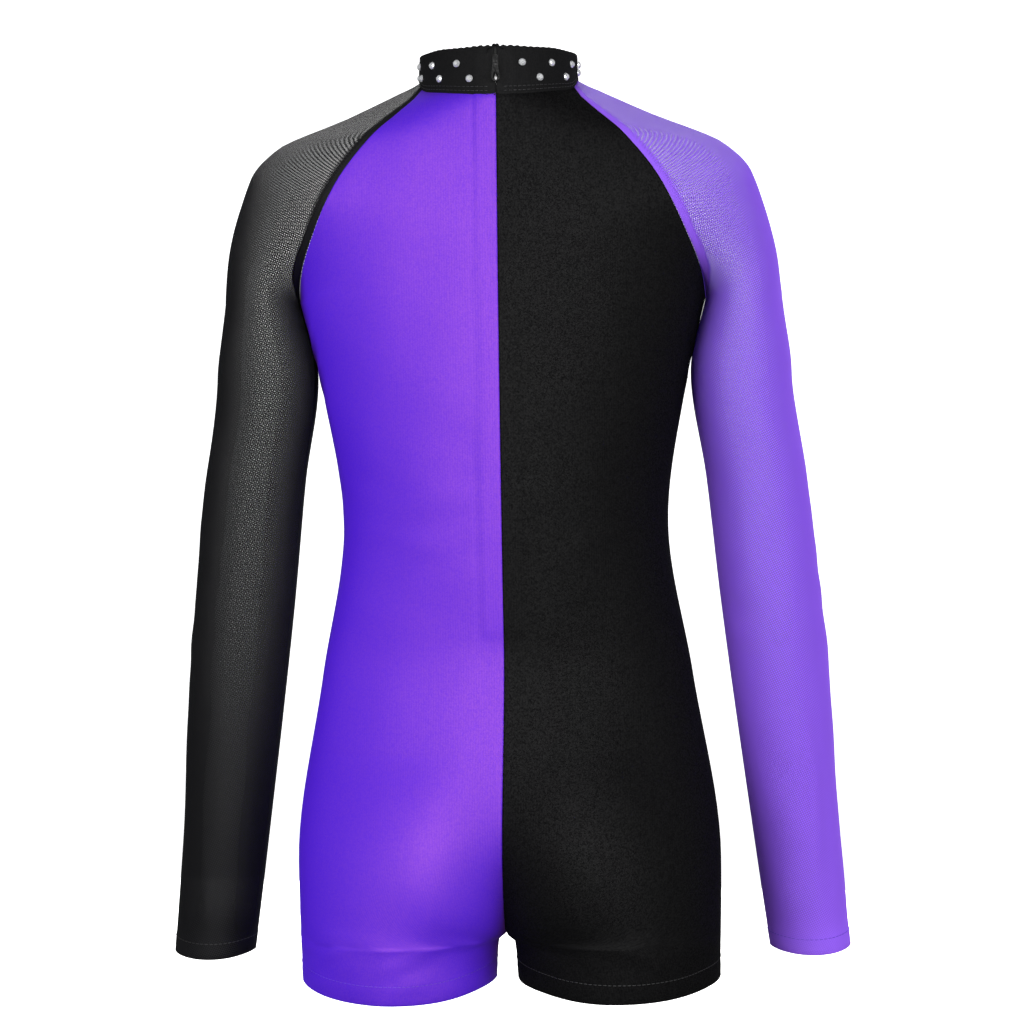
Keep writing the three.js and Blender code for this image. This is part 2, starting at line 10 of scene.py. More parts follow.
import bpy
import numpy as np
from mathutils import Matrix, Vector


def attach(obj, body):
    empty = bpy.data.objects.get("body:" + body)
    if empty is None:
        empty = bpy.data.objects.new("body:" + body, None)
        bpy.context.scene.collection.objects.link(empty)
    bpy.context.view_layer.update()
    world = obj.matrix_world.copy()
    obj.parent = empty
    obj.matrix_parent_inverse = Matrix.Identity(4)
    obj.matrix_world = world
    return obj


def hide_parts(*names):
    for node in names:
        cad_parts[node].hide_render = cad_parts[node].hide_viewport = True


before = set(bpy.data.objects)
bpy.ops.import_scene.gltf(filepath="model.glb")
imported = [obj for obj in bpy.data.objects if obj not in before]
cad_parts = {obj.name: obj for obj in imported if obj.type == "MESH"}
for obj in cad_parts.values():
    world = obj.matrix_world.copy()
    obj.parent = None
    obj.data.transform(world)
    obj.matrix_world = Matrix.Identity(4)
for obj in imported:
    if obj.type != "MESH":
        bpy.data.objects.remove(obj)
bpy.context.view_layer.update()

# %% [markdown]
# ## Camera, light and stage
# A garment on a mannequin is shot from about two metres with a long lens, so its two edges are seen
# almost square on. Two large side walls light the cloth softly and give it no shine, with fainter
# panels overhead and behind. A tall panel by the camera only shines, so the foil throws it back
# where the cloth faces us, and the cloth has no hard shadow and darkens where it turns away.

# %% Camera
MM = 0.001
BACK_PLANE = -46 * MM
DISTANCE = 1.8
FRAME_WIDTH = 0.64
SENSOR = 36.0
EYE_LEVEL = -0.2606
SIDE_STEP = 0.070
AIM_POINT = (0.0045, 0.01, EYE_LEVEL)
ROLL = math.radians(-0.75)

camera_data = bpy.data.cameras.new("camera")
camera_data.sensor_width = SENSOR
camera_data.lens = SENSOR * DISTANCE / FRAME_WIDTH
camera = bpy.data.objects.new("camera", camera_data)
bpy.context.scene.collection.objects.link(camera)
bpy.context.scene.camera = camera
camera.location = (SIDE_STEP, BACK_PLANE - DISTANCE, EYE_LEVEL)
aim = Vector(AIM_POINT) - camera.location
camera.rotation_euler = (aim.to_track_quat("-Z", "Y").to_matrix() @ Matrix.Rotation(ROLL, 3, "Z")).to_euler()
print("lens, mm:", round(camera_data.lens, 1))


# %% A helper for colours, and one for shader nodes
def linear(hex_colour, alpha=1.0):
    """Turns an sRGB hex colour into the linear numbers that shaders work in."""
    values = [int(hex_colour[i:i + 2], 16) / 255 for i in (1, 3, 5)]
    return (*[v / 12.92 if v <= 0.04045 else ((v + 0.055) / 1.055) ** 2.4 for v in values], alpha)


def add_node(tree, kind, settings=None, inputs=None):
    """Adds a node: settings are its properties, inputs its values or the sockets that feed it."""
    node = tree.nodes.new(kind)
    for key, value in (settings or {}).items():
        setattr(node, key, value)
    for key, value in (inputs or {}).items():
        if isinstance(value, bpy.types.NodeSocket):
            tree.links.new(value, node.inputs[key])
        else:
            node.inputs[key].default_value = value
    return node


# %% Studio: a dim white world, large soft panels and a curved pale backdrop
WORLD_STRENGTH = 0.10
bpy.context.scene.view_settings.view_transform = "Standard"
world = bpy.data.worlds.new("studio")
bpy.context.scene.world = world
world.use_nodes = True
background = world.node_tree.nodes["Background"]
background.inputs["Color"].default_value = linear("#ffffff")
background.inputs["Strength"].default_value = WORLD_STRENGTH


def soft_panel(name, size, power, place, aim_at, lights=True, shines=False):
    """A flat lamp. One that only lights gives the cloth no shine; one that only shines is a reflection."""
    lamp = bpy.data.lights.new(name, "AREA")
    lamp.shape = "RECTANGLE"
    lamp.size, lamp.size_y = size
    lamp.energy = power
    panel = bpy.data.objects.new(name, lamp)
    panel.location = place
    panel.visible_diffuse = lights
    panel.visible_glossy = shines
    panel.visible_camera = False
    panel.rotation_euler = (Vector(aim_at) - Vector(place)).to_track_quat("-Z", "Y").to_euler()
    bpy.context.scene.collection.objects.link(panel)


GARMENT_MIDDLE = (0, 0, -0.27)
# The tall panel by the camera is what the foil throws back.
soft_panel("front_shine", (1.0, 1.5), 116, (0.1, -2.4, 0.0), GARMENT_MIDDLE, lights=False, shines=True)
# A small lamp above the camera is what the stones and the zip pull throw back.
soft_panel("high_shine", (0.35, 0.3), 3, (-0.1, -1.9, 1.3), (0, 0, 0), lights=False, shines=True)
# Large white walls at both sides fill the cloth's edges with even light and give it no shine.
soft_panel("left_wall", (2.4, 2.4), 62, (-2.0, -1.5, -0.2), GARMENT_MIDDLE)
soft_panel("right_wall", (2.4, 2.4), 62, (2.0, -1.5, -0.2), GARMENT_MIDDLE)
soft_panel("top_light", (2.0, 2.0), 8, (0.0, -0.4, 1.9), GARMENT_MIDDLE)
# The garment's front is away from us. It is dimmer, but still lit well enough to look at.
soft_panel("far_light", (2.4, 2.4), 45, (0.3, 1.45, 0.3), GARMENT_MIDDLE)

# The paper runs from behind the camera along the floor, bends up and ends above the view, in m.
FLOOR = -0.75
WALL = 3.2
BEND, BEND_STEPS = 0.8, 12
PAPER_FRONT, PAPER_TOP, PAPER_HALF = -4.0, 3.0, 4.0
sweep = [(PAPER_FRONT, FLOOR)]
for step in range(BEND_STEPS + 1):
    turn = math.radians(90 * step / BEND_STEPS)
    sweep.append((WALL - BEND + BEND * math.sin(turn), FLOOR + BEND - BEND * math.cos(turn)))
sweep.append((WALL, PAPER_TOP))
backdrop_mesh = bpy.data.meshes.new("backdrop")
backdrop_points = [(x, y, z) for y, z in sweep for x in (-PAPER_HALF, PAPER_HALF)]
backdrop_faces = [(2 * i, 2 * i + 1, 2 * i + 3, 2 * i + 2) for i in range(len(sweep) - 1)]
backdrop_mesh.from_pydata(backdrop_points, [], backdrop_faces)
backdrop = bpy.data.objects.new("backdrop", backdrop_mesh)
bpy.context.scene.collection.objects.link(backdrop)
for face in backdrop_mesh.polygons:
    face.use_smooth = True
paper = bpy.data.materials.new("white_studio_paper")
paper.use_nodes = True
paper_inputs = paper.node_tree.nodes["Principled BSDF"].inputs
paper_inputs["Base Color"].default_value = linear("#fdfdfd")
paper_inputs["Roughness"].default_value = 0.9
paper_inputs["Emission Color"].default_value = linear("#ffffff")
paper_inputs["Emission Strength"].default_value = 1.0
backdrop_mesh.materials.append(paper)
# The paper is seen, but its glow falls on nothing, so the cloth's edges stay dark.
backdrop.visible_diffuse = False
backdrop.visible_glossy = False

# %% [markdown]
# ## The garment's form
# A tight garment is a skin over a body, so its form is a stack of level outlines. Each outline is
# a superellipse: the sum of two powers, which is an ellipse at 2 and squarer above it. A few
# profiles say how its half width, its front and its back change on the way down from the nape.

# %% Sizes, in millimetres below the nape and out from the middle
DROP = {"armpit": 124, "waist": 268, "zip_end": 328, "seat": 484, "crotch": 533, "cuff": 547, "hem": 569}
HALF = {"neck": 51, "chest": 131, "waist": 105.3, "hip": 136.4, "hem": 135}
SLEEVE = {"armpit_width": 49, "upper_width": 65.2, "wrist_width": 52.2, "armpit_depth": 80, "wrist_depth": 56}
STAND_OFF, WRIST_FORWARD = 31.7, 12
HEM_RISE = {"leg": 8, "sleeve": 3.5, "reach": 60}
SPINE_RADIUS, SPINE_APEX_DROP, SPINE_APEX_Y = 1200, 130, -59
FRONT_Y = {"chest": 102, "waist": 87, "belly": 93, "hem": 87}
BACK_Y = {"seat": -63, "hem": -48}
SIDE_Y = {"shoulder": 15, "armpit": 21, "waist": 24, "seat": 15, "hem": 21}
COLLAR = {"height": 30.6, "top_half": 50.6, "side_rise": 15, "front_drop": 20, "top_front_drop": 24}
LEG_HEM, SLEEVE_HEM = 14, 11
TAPE_TAIL, TAPE_WIDTH = 10, 12.4
SEAM = 0.16
SLIT, SLIT_CLOSED = 0.62, 0.0
print("drops, mm:", DROP)


# %% Smooth profiles
def profile(points):
    """A smooth curve through a few points that never overshoots them."""
    xs, ys = (np.array(values, float) for values in zip(*points))
    slope = np.diff(ys) / np.diff(xs)
    before, after = slope[:-1], slope[1:]
    total = np.where(before + after == 0, 1, before + after)
    middle = np.where(before * after > 0, 2 * before * after / total, 0)
    tangent = np.concatenate([slope[:1], middle, slope[-1:]])

    def curve(at):
        x = np.clip(at, xs[0], xs[-1])
        i = np.clip(np.searchsorted(xs, x, side="right") - 1, 0, len(slope) - 1)
        span = xs[i + 1] - xs[i]
        t = (x - xs[i]) / span
        bend = t * (1 - t) ** 2 * tangent[i] - t * t * (1 - t) * tangent[i + 1]
        return ys[i] + (ys[i + 1] - ys[i]) * t * t * (3 - 2 * t) + span * bend

    return curve


def mix(a, b, share):
    return a + (b - a) * share


def smooth(low, high, at):
    """0 below low, 1 above high and an even slope between."""
    t = np.clip((at - low) / (high - low), 0, 1)
    return t * t * (3 - 2 * t)


def spine_y(d):
    return SPINE_APEX_Y + SPINE_RADIUS - np.sqrt(SPINE_RADIUS ** 2 - (d - SPINE_APEX_DROP) ** 2)


SPINE_END = DROP["zip_end"] + TAPE_TAIL + 2
SPINE_SLOPE = (SPINE_END - SPINE_APEX_DROP) / (SPINE_RADIUS - spine_y(SPINE_END) + SPINE_APEX_Y)
NECK_DEPTH = -float(spine_y(0))


def back_line(d):
    if d <= SPINE_END:
        return float(spine_y(d))
    if d > DROP["seat"]:
        return mix(BACK_Y["seat"], BACK_Y["hem"], ((d - DROP["seat"]) / (DROP["hem"] - DROP["seat"])) ** 2)
    span = DROP["seat"] - SPINE_END
    t = (d - SPINE_END) / span
    swell = mix(float(spine_y(SPINE_END)), BACK_Y["seat"], t * t * (3 - 2 * t))
    return swell + span * SPINE_SLOPE * t * (1 - t) ** 2


SHOULDER = 0.48 * DROP["armpit"]
centre_y = profile([
    (0, 0), (SHOULDER, SIDE_Y["shoulder"]), (DROP["armpit"], SIDE_Y["armpit"]),
    (DROP["waist"], SIDE_Y["waist"]), (DROP["seat"], SIDE_Y["seat"]), (DROP["hem"], SIDE_Y["hem"]),
])
front_line = profile([
    (0, NECK_DEPTH), (SHOULDER, mix(NECK_DEPTH, FRONT_Y["chest"], 0.66)),
    (1.2 * DROP["armpit"], FRONT_Y["chest"]), (DROP["waist"], FRONT_Y["waist"]),
    (mix(DROP["waist"], DROP["seat"], 0.63), FRONT_Y["belly"]), (DROP["hem"], FRONT_Y["hem"]),
])
torso_half = profile([
    (DROP["armpit"], HALF["chest"]),
    (mix(DROP["armpit"], DROP["waist"], 0.35), mix(HALF["waist"], HALF["chest"], 0.53)),
    (DROP["waist"], HALF["waist"]),
    (mix(DROP["waist"], DROP["seat"], 0.45), mix(HALF["waist"], HALF["hip"], 0.47)),
    (DROP["seat"], HALF["hip"]), (DROP["hem"], HALF["hem"]),
])
fullness = profile([(0, 2), (SHOULDER, 2.6), (DROP["armpit"], 2.4), (DROP["waist"], 2.2), (DROP["hem"], 2.1)])
shoulder_share = profile([(0, 0), (0.082, 0.3), (0.218, 0.723), (0.36, 0.858), (0.735, 0.96), (1, 1)])
raglan_share = profile([(0, 0), (0.065, 0.135), (0.194, 0.37), (0.484, 0.69), (0.726, 0.83), (1, 1)])
RAGLAN_NECK = {"back": 0.95 * HALF["neck"], "front": 0.75 * HALF["neck"]}
inner_leg = profile([
    (DROP["crotch"], SLIT_CLOSED), (mix(DROP["crotch"], DROP["hem"], 0.14), 4.9), (DROP["hem"], 7.2),
])
RISE_START = {"back": DROP["crotch"] - 118, "front": DROP["crotch"] - 100}


def shoulder_half(d):
    widest = HALF["chest"] + SLEEVE["armpit_width"]
    return mix(HALF["neck"], widest, float(shoulder_share(d / DROP["armpit"])))


def inner_x(d, facing):
    """Where the panel's middle edge lies. Over the zip the two edges meet."""
    return SLIT_CLOSED if facing == "back" and d <= DROP["zip_end"] else float(inner_leg(d))


def side_climb(share):
    """The neckline stays low across the back and climbs steeply at the sides."""
    return COLLAR["side_rise"] * (0.5 * share ** 2 + 0.5 * share ** 24)


def hem_lift(c, rise, hem, d):
    """A hem's sides rise a little from its middle. c is the cosine round the outline."""
    return rise * c ** 2 * max(0, 1 - (hem - d) / HEM_RISE["reach"]) ** 2


# %% Points of one level outline
def outline(d, facing, angle, centre_x, reach_x):
    """Points of the outline at one drop, in millimetres, for an array of angles from the middle."""
    reach_y = centre_y(d) - (back_line(d) if facing == "back" else front_line(d))
    n = fullness(d)
    c, s = np.cos(angle), np.sin(angle)
    fade_side = max(0, 1 - d / (0.26 * DROP["armpit"])) ** 2
    fade_front = max(0, 1 - d / (0.56 * DROP["armpit"])) ** 2 if facing == "front" else 0
    x = centre_x - reach_x * np.sign(c) * np.abs(c) ** (2 / n)
    y = centre_y(d) - reach_y * np.abs(s) ** (2 / n)
    z = -d + side_climb(c) * fade_side - COLLAR["front_drop"] * s ** 2 * fade_front
    z = z + hem_lift(c, HEM_RISE["leg"], DROP["hem"], d)
    return np.stack([x, y, z], -1)


def underarm(d):
    k = min(1, max(0, (d - SHOULDER) / (DROP["armpit"] - SHOULDER)))
    return 1 - (1 - k ** 1.6) ** 0.75


def raglan_angle(d, facing):
    x = mix(RAGLAN_NECK[facing], HALF["chest"], float(raglan_share(d / DROP["armpit"])))
    inner = inner_x(d, facing)
    share = min(1, (x - inner) / (shoulder_half(d) - inner))
    return math.pi - math.acos(share ** (float(fullness(d)) / 2))


def raglan_point(d, facing):
    inner = inner_x(d, facing)
    angle = np.array([raglan_angle(d, facing)])
    point = outline(d, facing, angle, inner, shoulder_half(d) - inner)[0]
    return mix(point, np.array([HALF["chest"], centre_y(d), point[2]]), underarm(d))


def evenly(points, cells):
    """The same line, cut into cells of equal length."""
    length = np.concatenate([[0], np.cumsum(np.linalg.norm(np.diff(points, axis=0), axis=1))])
    at = np.linspace(0, length[-1], cells + 1)
    return np.stack([np.interp(at, length, points[:, k]) for k in range(3)], -1)


SAMPLES = 240


def panel_row(d, facing, cells):
    """One row of a body panel, from the centre seam to the raglan seam or side seam."""
    inner = inner_x(d, facing)
    k = min(1, max(0, (d - RISE_START[facing]) / (DROP["crotch"] - RISE_START[facing])))
    n = float(fullness(d))
    end = math.pi
    if d < DROP["armpit"]:
        seam = raglan_point(d, facing)
        reach_y = abs((back_line(d) if facing == "back" else float(front_line(d))) - float(centre_y(d)))
        share = min(1, abs(seam[1] - float(centre_y(d))) / reach_y)
        centre, reach = inner, (seam[0] - inner) / (1 - share ** n) ** (1 / n)
        end = math.pi - math.acos(min(1, (seam[0] - inner) / reach) ** (n / 2))
    else:
        centre = (inner + k * float(torso_half(d))) / (1 + k)
        reach = float(torso_half(d)) - centre
    angles = np.linspace(math.acos(k ** (n / 2)), end, SAMPLES)
    row = evenly(outline(d, facing, angles, centre, reach), cells)
    away = -1 if facing == "back" else 1
    row[-1] += (-SEAM / 2, away * SEAM / 2, 0)
    if k == 1:
        row[0, 1] += away * SEAM / 2
    return row


TUCK = mix(DROP["armpit"], DROP["cuff"], 0.113)
ELBOW = mix(DROP["armpit"], DROP["cuff"], 0.46)
TUCK_X = float(torso_half(TUCK)) + 1.6
CUFF_X = HALF["hip"] + STAND_OFF
tube_inner = profile([
    (DROP["armpit"], HALF["chest"] + 0.1), (TUCK, TUCK_X),
    (mix(DROP["armpit"], DROP["cuff"], 0.27), mix(TUCK_X, CUFF_X, 0.195)),
    (ELBOW, mix(TUCK_X, CUFF_X, 0.375)), (DROP["cuff"], CUFF_X),
])
tube_width = profile([
    (DROP["armpit"], SLEEVE["armpit_width"]), (TUCK, SLEEVE["upper_width"]), (ELBOW, SLEEVE["upper_width"]),
    (mix(DROP["armpit"], DROP["cuff"], 0.856), mix(SLEEVE["wrist_width"], SLEEVE["upper_width"], 0.22)),
    (DROP["cuff"], SLEEVE["wrist_width"]),
])
tube_depth = profile([
    (DROP["armpit"], SLEEVE["armpit_depth"]),
    (ELBOW, mix(SLEEVE["wrist_depth"], SLEEVE["armpit_depth"], 0.6)), (DROP["cuff"], SLEEVE["wrist_depth"]),
])
tube_y = profile([(DROP["armpit"], SIDE_Y["armpit"]), (DROP["cuff"], SIDE_Y["armpit"] + WRIST_FORWARD)])
TUBE_FULLNESS = 2.15


def sleeve_row(d, cells):
    """One row of a sleeve, from the back raglan seam round the outside to the front one."""
    tube = max(d, DROP["armpit"])
    reach = float(tube_width(tube)) / 2
    angles = np.linspace(0, 2 * math.pi, SAMPLES)
    c, s = np.cos(angles), np.sin(angles)
    p = 2 / TUBE_FULLNESS
    row = evenly(np.stack([
        float(tube_inner(tube)) + reach - reach * np.sign(c) * np.abs(c) ** p,
        float(tube_y(tube)) - float(tube_depth(tube)) / 2 * np.sign(s) * np.abs(s) ** p,
        -d + hem_lift(c, HEM_RISE["sleeve"], DROP["cuff"], d),
    ], -1), cells)
    if d < DROP["armpit"]:
        inner = SEAM / 2
        back = np.linspace(raglan_angle(d, "back"), math.pi, SAMPLES // 2)
        front = np.linspace(math.pi, raglan_angle(d, "front"), SAMPLES // 2)
        reach = shoulder_half(d) - inner
        over = np.concatenate([outline(d, "back", back, inner, reach),
                               outline(d, "front", front, inner, reach)[1:]])
        row = mix(evenly(over, cells), row, underarm(d))
        row[0], row[-1] = raglan_point(d, "back"), raglan_point(d, "front")
    row[0] += (SEAM / 2, -SEAM / 2, 0)
    row[-1] += (SEAM / 2, SEAM / 2, 0)
    return row


def collar_point(turn, up, sunk=0.0):
    """A point of the collar: turn from the centre back, up from 0 to 1, sunk below its outer face."""
    s, c = np.sin(turn), np.cos(turn)
    in_front = np.where(c < 0, c * c, 0)
    low = side_climb(s) - COLLAR["front_drop"] * in_front
    high = COLLAR["height"] - COLLAR["top_front_drop"] * in_front
    top_y = -float(spine_y(-COLLAR["height"]))
    x = (mix(HALF["neck"], COLLAR["top_half"], up) - sunk) * s
    y = -(mix(NECK_DEPTH, top_y, up) - sunk) * c
    return np.stack([x, y, mix(low, high, up)], -1)


# %% [markdown]
# ## Sheets with turned edges
# Sewn cloth never ends in a bare cut on the outside. At a seam both sheets turn inwards and lie back
# against themselves, and at a hem the edge rolls under. So each grid gets a few more columns or rows
# past its edges, which make the fine groove that the eye reads as a seam.

# %% Grid helpers
def normals_of(grid):
    """Unit vectors pointing into the body at each point of a grid."""
    along = np.gradient(grid, axis=1)
    down = np.gradient(grid, axis=0)
    inward = np.cross(along, down)
    return inward / np.maximum(np.linalg.norm(inward, axis=-1, keepdims=True), 1e-9)


def refine(stops, step):
    """Adds stops between the given ones, so that none lies further than step from the next."""
    fine = [stops[0]]
    for a, b in zip(stops, stops[1:]):
        count = max(1, math.ceil((b - a) / step))
        fine += [a + (b - a) * i / count for i in range(1, count + 1)]
    return fine


ALLOWANCE = 6.0
# Each column of a fold: how deep it lies under the cloth and how far back from the edge, in mm.
FOLD = [(0.18, 0.0), (0.62, 0.12), (0.95, 0.8), (1.05, 0.5 * ALLOWANCE), (1.05, ALLOWANCE)]
FOLD_COLUMNS = len(FOLD) + 1
# How far those columns and the edge itself lie back along the cloth, cut edge first, in mm.
FOLD_REACH = np.array([ALLOWANCE, 3, 1, 0.5, 0.3, 0.0])
ROLL_TURNS = (45, 90, 135, 180)
ROLL_DEPTH = 1.05


def turn_under(grid, inward, first=True):
    """Adds the fold and the seam allowance at the first or last column of a grid."""
    edge, nxt = (grid[:, 0], grid[:, 1]) if first else (grid[:, -1], grid[:, -2])
    normal = inward[:, 0] if first else inward[:, -1]
    way = nxt - edge
    way /= np.maximum(np.linalg.norm(way, axis=1, keepdims=True), 1e-9)
    holding = edge + way * 0.9
    columns = [edge + normal * depth + way * back for depth, back in FOLD]
    edge = edge + normal * 0.06
    if first:
        return np.stack([*columns[::-1], edge, holding, *np.moveaxis(grid, 1, 0)[1:]], 1)
    return np.stack([*np.moveaxis(grid, 1, 0)[:-1], holding, edge, *columns], 1)


def roll_under(grid, inward, last=True, depth=ROLL_DEPTH):
    """Rolls the first or last row of a grid inwards, as a folded hem or a collar seam does."""
    edge, normal = (grid[-1], inward[-1]) if last else (grid[0], inward[0])
    way = (grid[-2] - grid[-1]) if last else (grid[1] - grid[0])
    way /= np.maximum(np.linalg.norm(way, axis=1, keepdims=True), 1e-9)
    turns = [edge + normal * depth * (1 - math.cos(a)) / 2 - way * 0.35 * depth * math.sin(a)
             for a in (math.radians(v) for v in ROLL_TURNS)]
    if last:
        return np.concatenate([grid, np.stack(turns)])
    return np.concatenate([np.stack(turns[::-1]), grid])


def extend(values, before, after):
    """Stretches cloth coordinates over the columns that folding added."""
    left = values[:, :1] - FOLD_REACH[None, :, None] * (1, 0)
    right = values[:, -1:] + FOLD_REACH[::-1][None, :, None] * (1, 0)
    assert after.shape[1] == before.shape[1] + 2 * FOLD_COLUMNS
    return np.concatenate([left, values, right], 1)


def hold_ends(values):
    """Repeats the first and last rows of cloth coordinates over the rows that rolling added."""
    rows = len(ROLL_TURNS)
    return np.concatenate([values[:1].repeat(rows, 0), values, values[-1:].repeat(rows, 0)])


# %% Wrinkles: a smooth noise that gives the same answer each run
def waves(u, v, seed, scale_u, scale_v, count=7):
    """Gentle waves over a sheet, between about -1 and 1. Scales are the wave lengths, in mm."""
    random = np.random.default_rng(seed)
    total = np.zeros_like(u)
    for _ in range(count):
        turn = random.uniform(-0.5, 0.5)
        size = random.uniform(0.7, 1.5)
        phase = random.uniform(0, 2 * math.pi)
        a = u * math.cos(turn) + v * math.sin(turn)
        b = v * math.cos(turn) - u * math.sin(turn)
        across = np.sin(2 * math.pi * a / (scale_u * size) + phase)
        total += across * np.cos(2 * math.pi * b / (scale_v * size) + 2 * phase)
    return total / math.sqrt(count)


def lengths(grid, axis):
    """Distance walked along the grid from its first column or row, in mm."""
    steps = np.linalg.norm(np.diff(grid, axis=axis), axis=-1)
    zero = np.zeros_like(np.take(steps, [0], axis=axis))
    return np.concatenate([zero, np.cumsum(steps, axis=axis)], axis=axis)


# %% The middle seam drifts: below the zip it is pulled a little to the wearer's left
LEAN, LEAN_TOP, LEAN_LOW, LEAN_REACH = 2.6, 342, 500, 55


def lean(points):
    """Moves points, in metres, sideways with the seam below the zip."""
    share = smooth(LEAN_TOP, LEAN_LOW, -points[:, 2] / MM)
    share = share * np.exp(-(points[:, 0] / (LEAN_REACH * MM)) ** 2)
    return points - share[:, None] * np.array([LEAN * MM, 0, 0])


# %% Mesh from a grid
def cloth_piece(name, grid, material, thick, side=1, uv=None, sheer=None, wrapped=False):
    """Makes a sheet of cloth from a grid in mm. side -1 mirrors it to the wearer's left."""
    rows, columns = grid.shape[:2]
    points = lean(grid.reshape(-1, 3) * MM * (side, 1, 1))
    if uv is None:
        uv = np.stack([lengths(grid, 1), lengths(grid, 0)], -1)
    faces = []
    last = columns if wrapped else columns - 1
    for i in range(rows - 1):
        for j in range(last):
            k = (j + 1) % columns
            face = (i * columns + j, i * columns + k, (i + 1) * columns + k, (i + 1) * columns + j)
            faces.append(face if side < 0 else face[::-1])
    mesh = bpy.data.meshes.new(name)
    mesh.from_pydata(points.tolist(), [], faces)
    layer = mesh.uv_layers.new(name="cloth_mm")
    flat_uv = uv.reshape(-1, 2)
    loops = np.array([loop.vertex_index for loop in mesh.loops])
    layer.data.foreach_set("uv", (flat_uv[loops] * MM).ravel())
    if sheer is not None:
        attribute = mesh.attributes.new("sheer", "FLOAT", "POINT")
        attribute.data.foreach_set("value", sheer.ravel().astype(np.float32))
    mesh.polygons.foreach_set("use_smooth", [True] * len(mesh.polygons))
    mesh.materials.append(material)
    piece = bpy.data.objects.new(name, mesh)
    bpy.context.scene.collection.objects.link(piece)
    shell = piece.modifiers.new("thickness", "SOLIDIFY")
    shell.thickness = thick * MM
    shell.offset = -1
    shell.use_even_offset = False
    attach(piece, "garment")
    return piece


# %% [markdown]
# ## Finishes
# The body is a stretch knit with fine foil dots printed on it: the deep colour comes from the dyed
# yarn, and the paler violet where it faces us comes from the dots, which throw the studio light
# back. Turned away, only the yarn is left, so the edges go saturated and dark.

# %% Materials for the cloth
KNIT_ROUGHNESS = 0.66
HOLE_PITCH, HOLE_SLANT = 1.3, 24.0


def coordinates(tree):
    """Real-size coordinates along the cloth: one unit is one metre."""
    return add_node(tree, "ShaderNodeUVMap", {"uv_map": "cloth_mm"}).outputs[0]


def new_material(name, roughness=0.6, metallic=0.0):
    material = bpy.data.materials.new(name)
    material.use_nodes = True
    shader = material.node_tree.nodes["Principled BSDF"]
    shader.inputs["Roughness"].default_value = roughness
    shader.inputs["Metallic"].default_value = metallic
    return material, material.node_tree, shader


def foil_knit(name, yarn, gloss_low, gloss_high, foil="#ffffff"):
    """Dyed stretch knit under dots of thin foil. The foil only adds a gloss of its own colour."""
    material, tree, shader = new_material(name, KNIT_ROUGHNESS)
    where = coordinates(tree)
    # The real dots are 0.3 mm apart. They are drawn 0.7 mm apart, the finest that still shows.
    dots = add_node(tree, "ShaderNodeTexVoronoi", {"feature": "F1"}, {"Vector": where, "Scale": 1500.0})
    fleck = add_node(tree, "ShaderNodeSeparateColor", None, {"Color": dots.outputs["Color"]}).outputs[0]
    gloss = add_node(tree, "ShaderNodeMapRange", None, {
        "Value": fleck, "From Min": 0.0, "From Max": 1.0,
        "To Min": gloss_low, "To Max": gloss_high}).outputs[0]
    tree.links.new(gloss, shader.inputs["Specular IOR Level"])
    shader.inputs["IOR"].default_value = 1.6
    shader.inputs["Specular Tint"].default_value = linear(foil)
    shader.inputs["Base Color"].default_value = linear(yarn)
    # Fine ribs of the knit. Real ones are 0.5 mm wide, and these are drawn 0.8 mm wide.
    ribs = add_node(tree, "ShaderNodeTexWave", {"wave_type": "BANDS", "bands_direction": "X"}, {
        "Vector": where, "Scale": 195.0, "Distortion": 1.2, "Detail": 1.0})
    bump = add_node(tree, "ShaderNodeBump", None, {
        "Height": ribs.outputs["Fac"], "Strength": 0.14, "Distance": 0.0002})
    tree.links.new(bump.outputs[0], shader.inputs["Normal"])
    return material


# Violet: a deep blue-violet yarn under pink foil, so it shines pink-violet face on.
violet_knit = foil_knit("violet_foil_knit", "#400ee6", 0.64, 1.0, "#ff98b4")
# Black: the same knit, where the foil is clear, so the eye gets only a faint speckle.
black_knit = foil_knit("black_foil_knit", "#0d0d0e", 0.01, 0.07)
# The collar is the black knit used double, with hardly any foil left to see.
collar_knit = foil_knit("black_double_knit", "#171718", 0.02, 0.05)


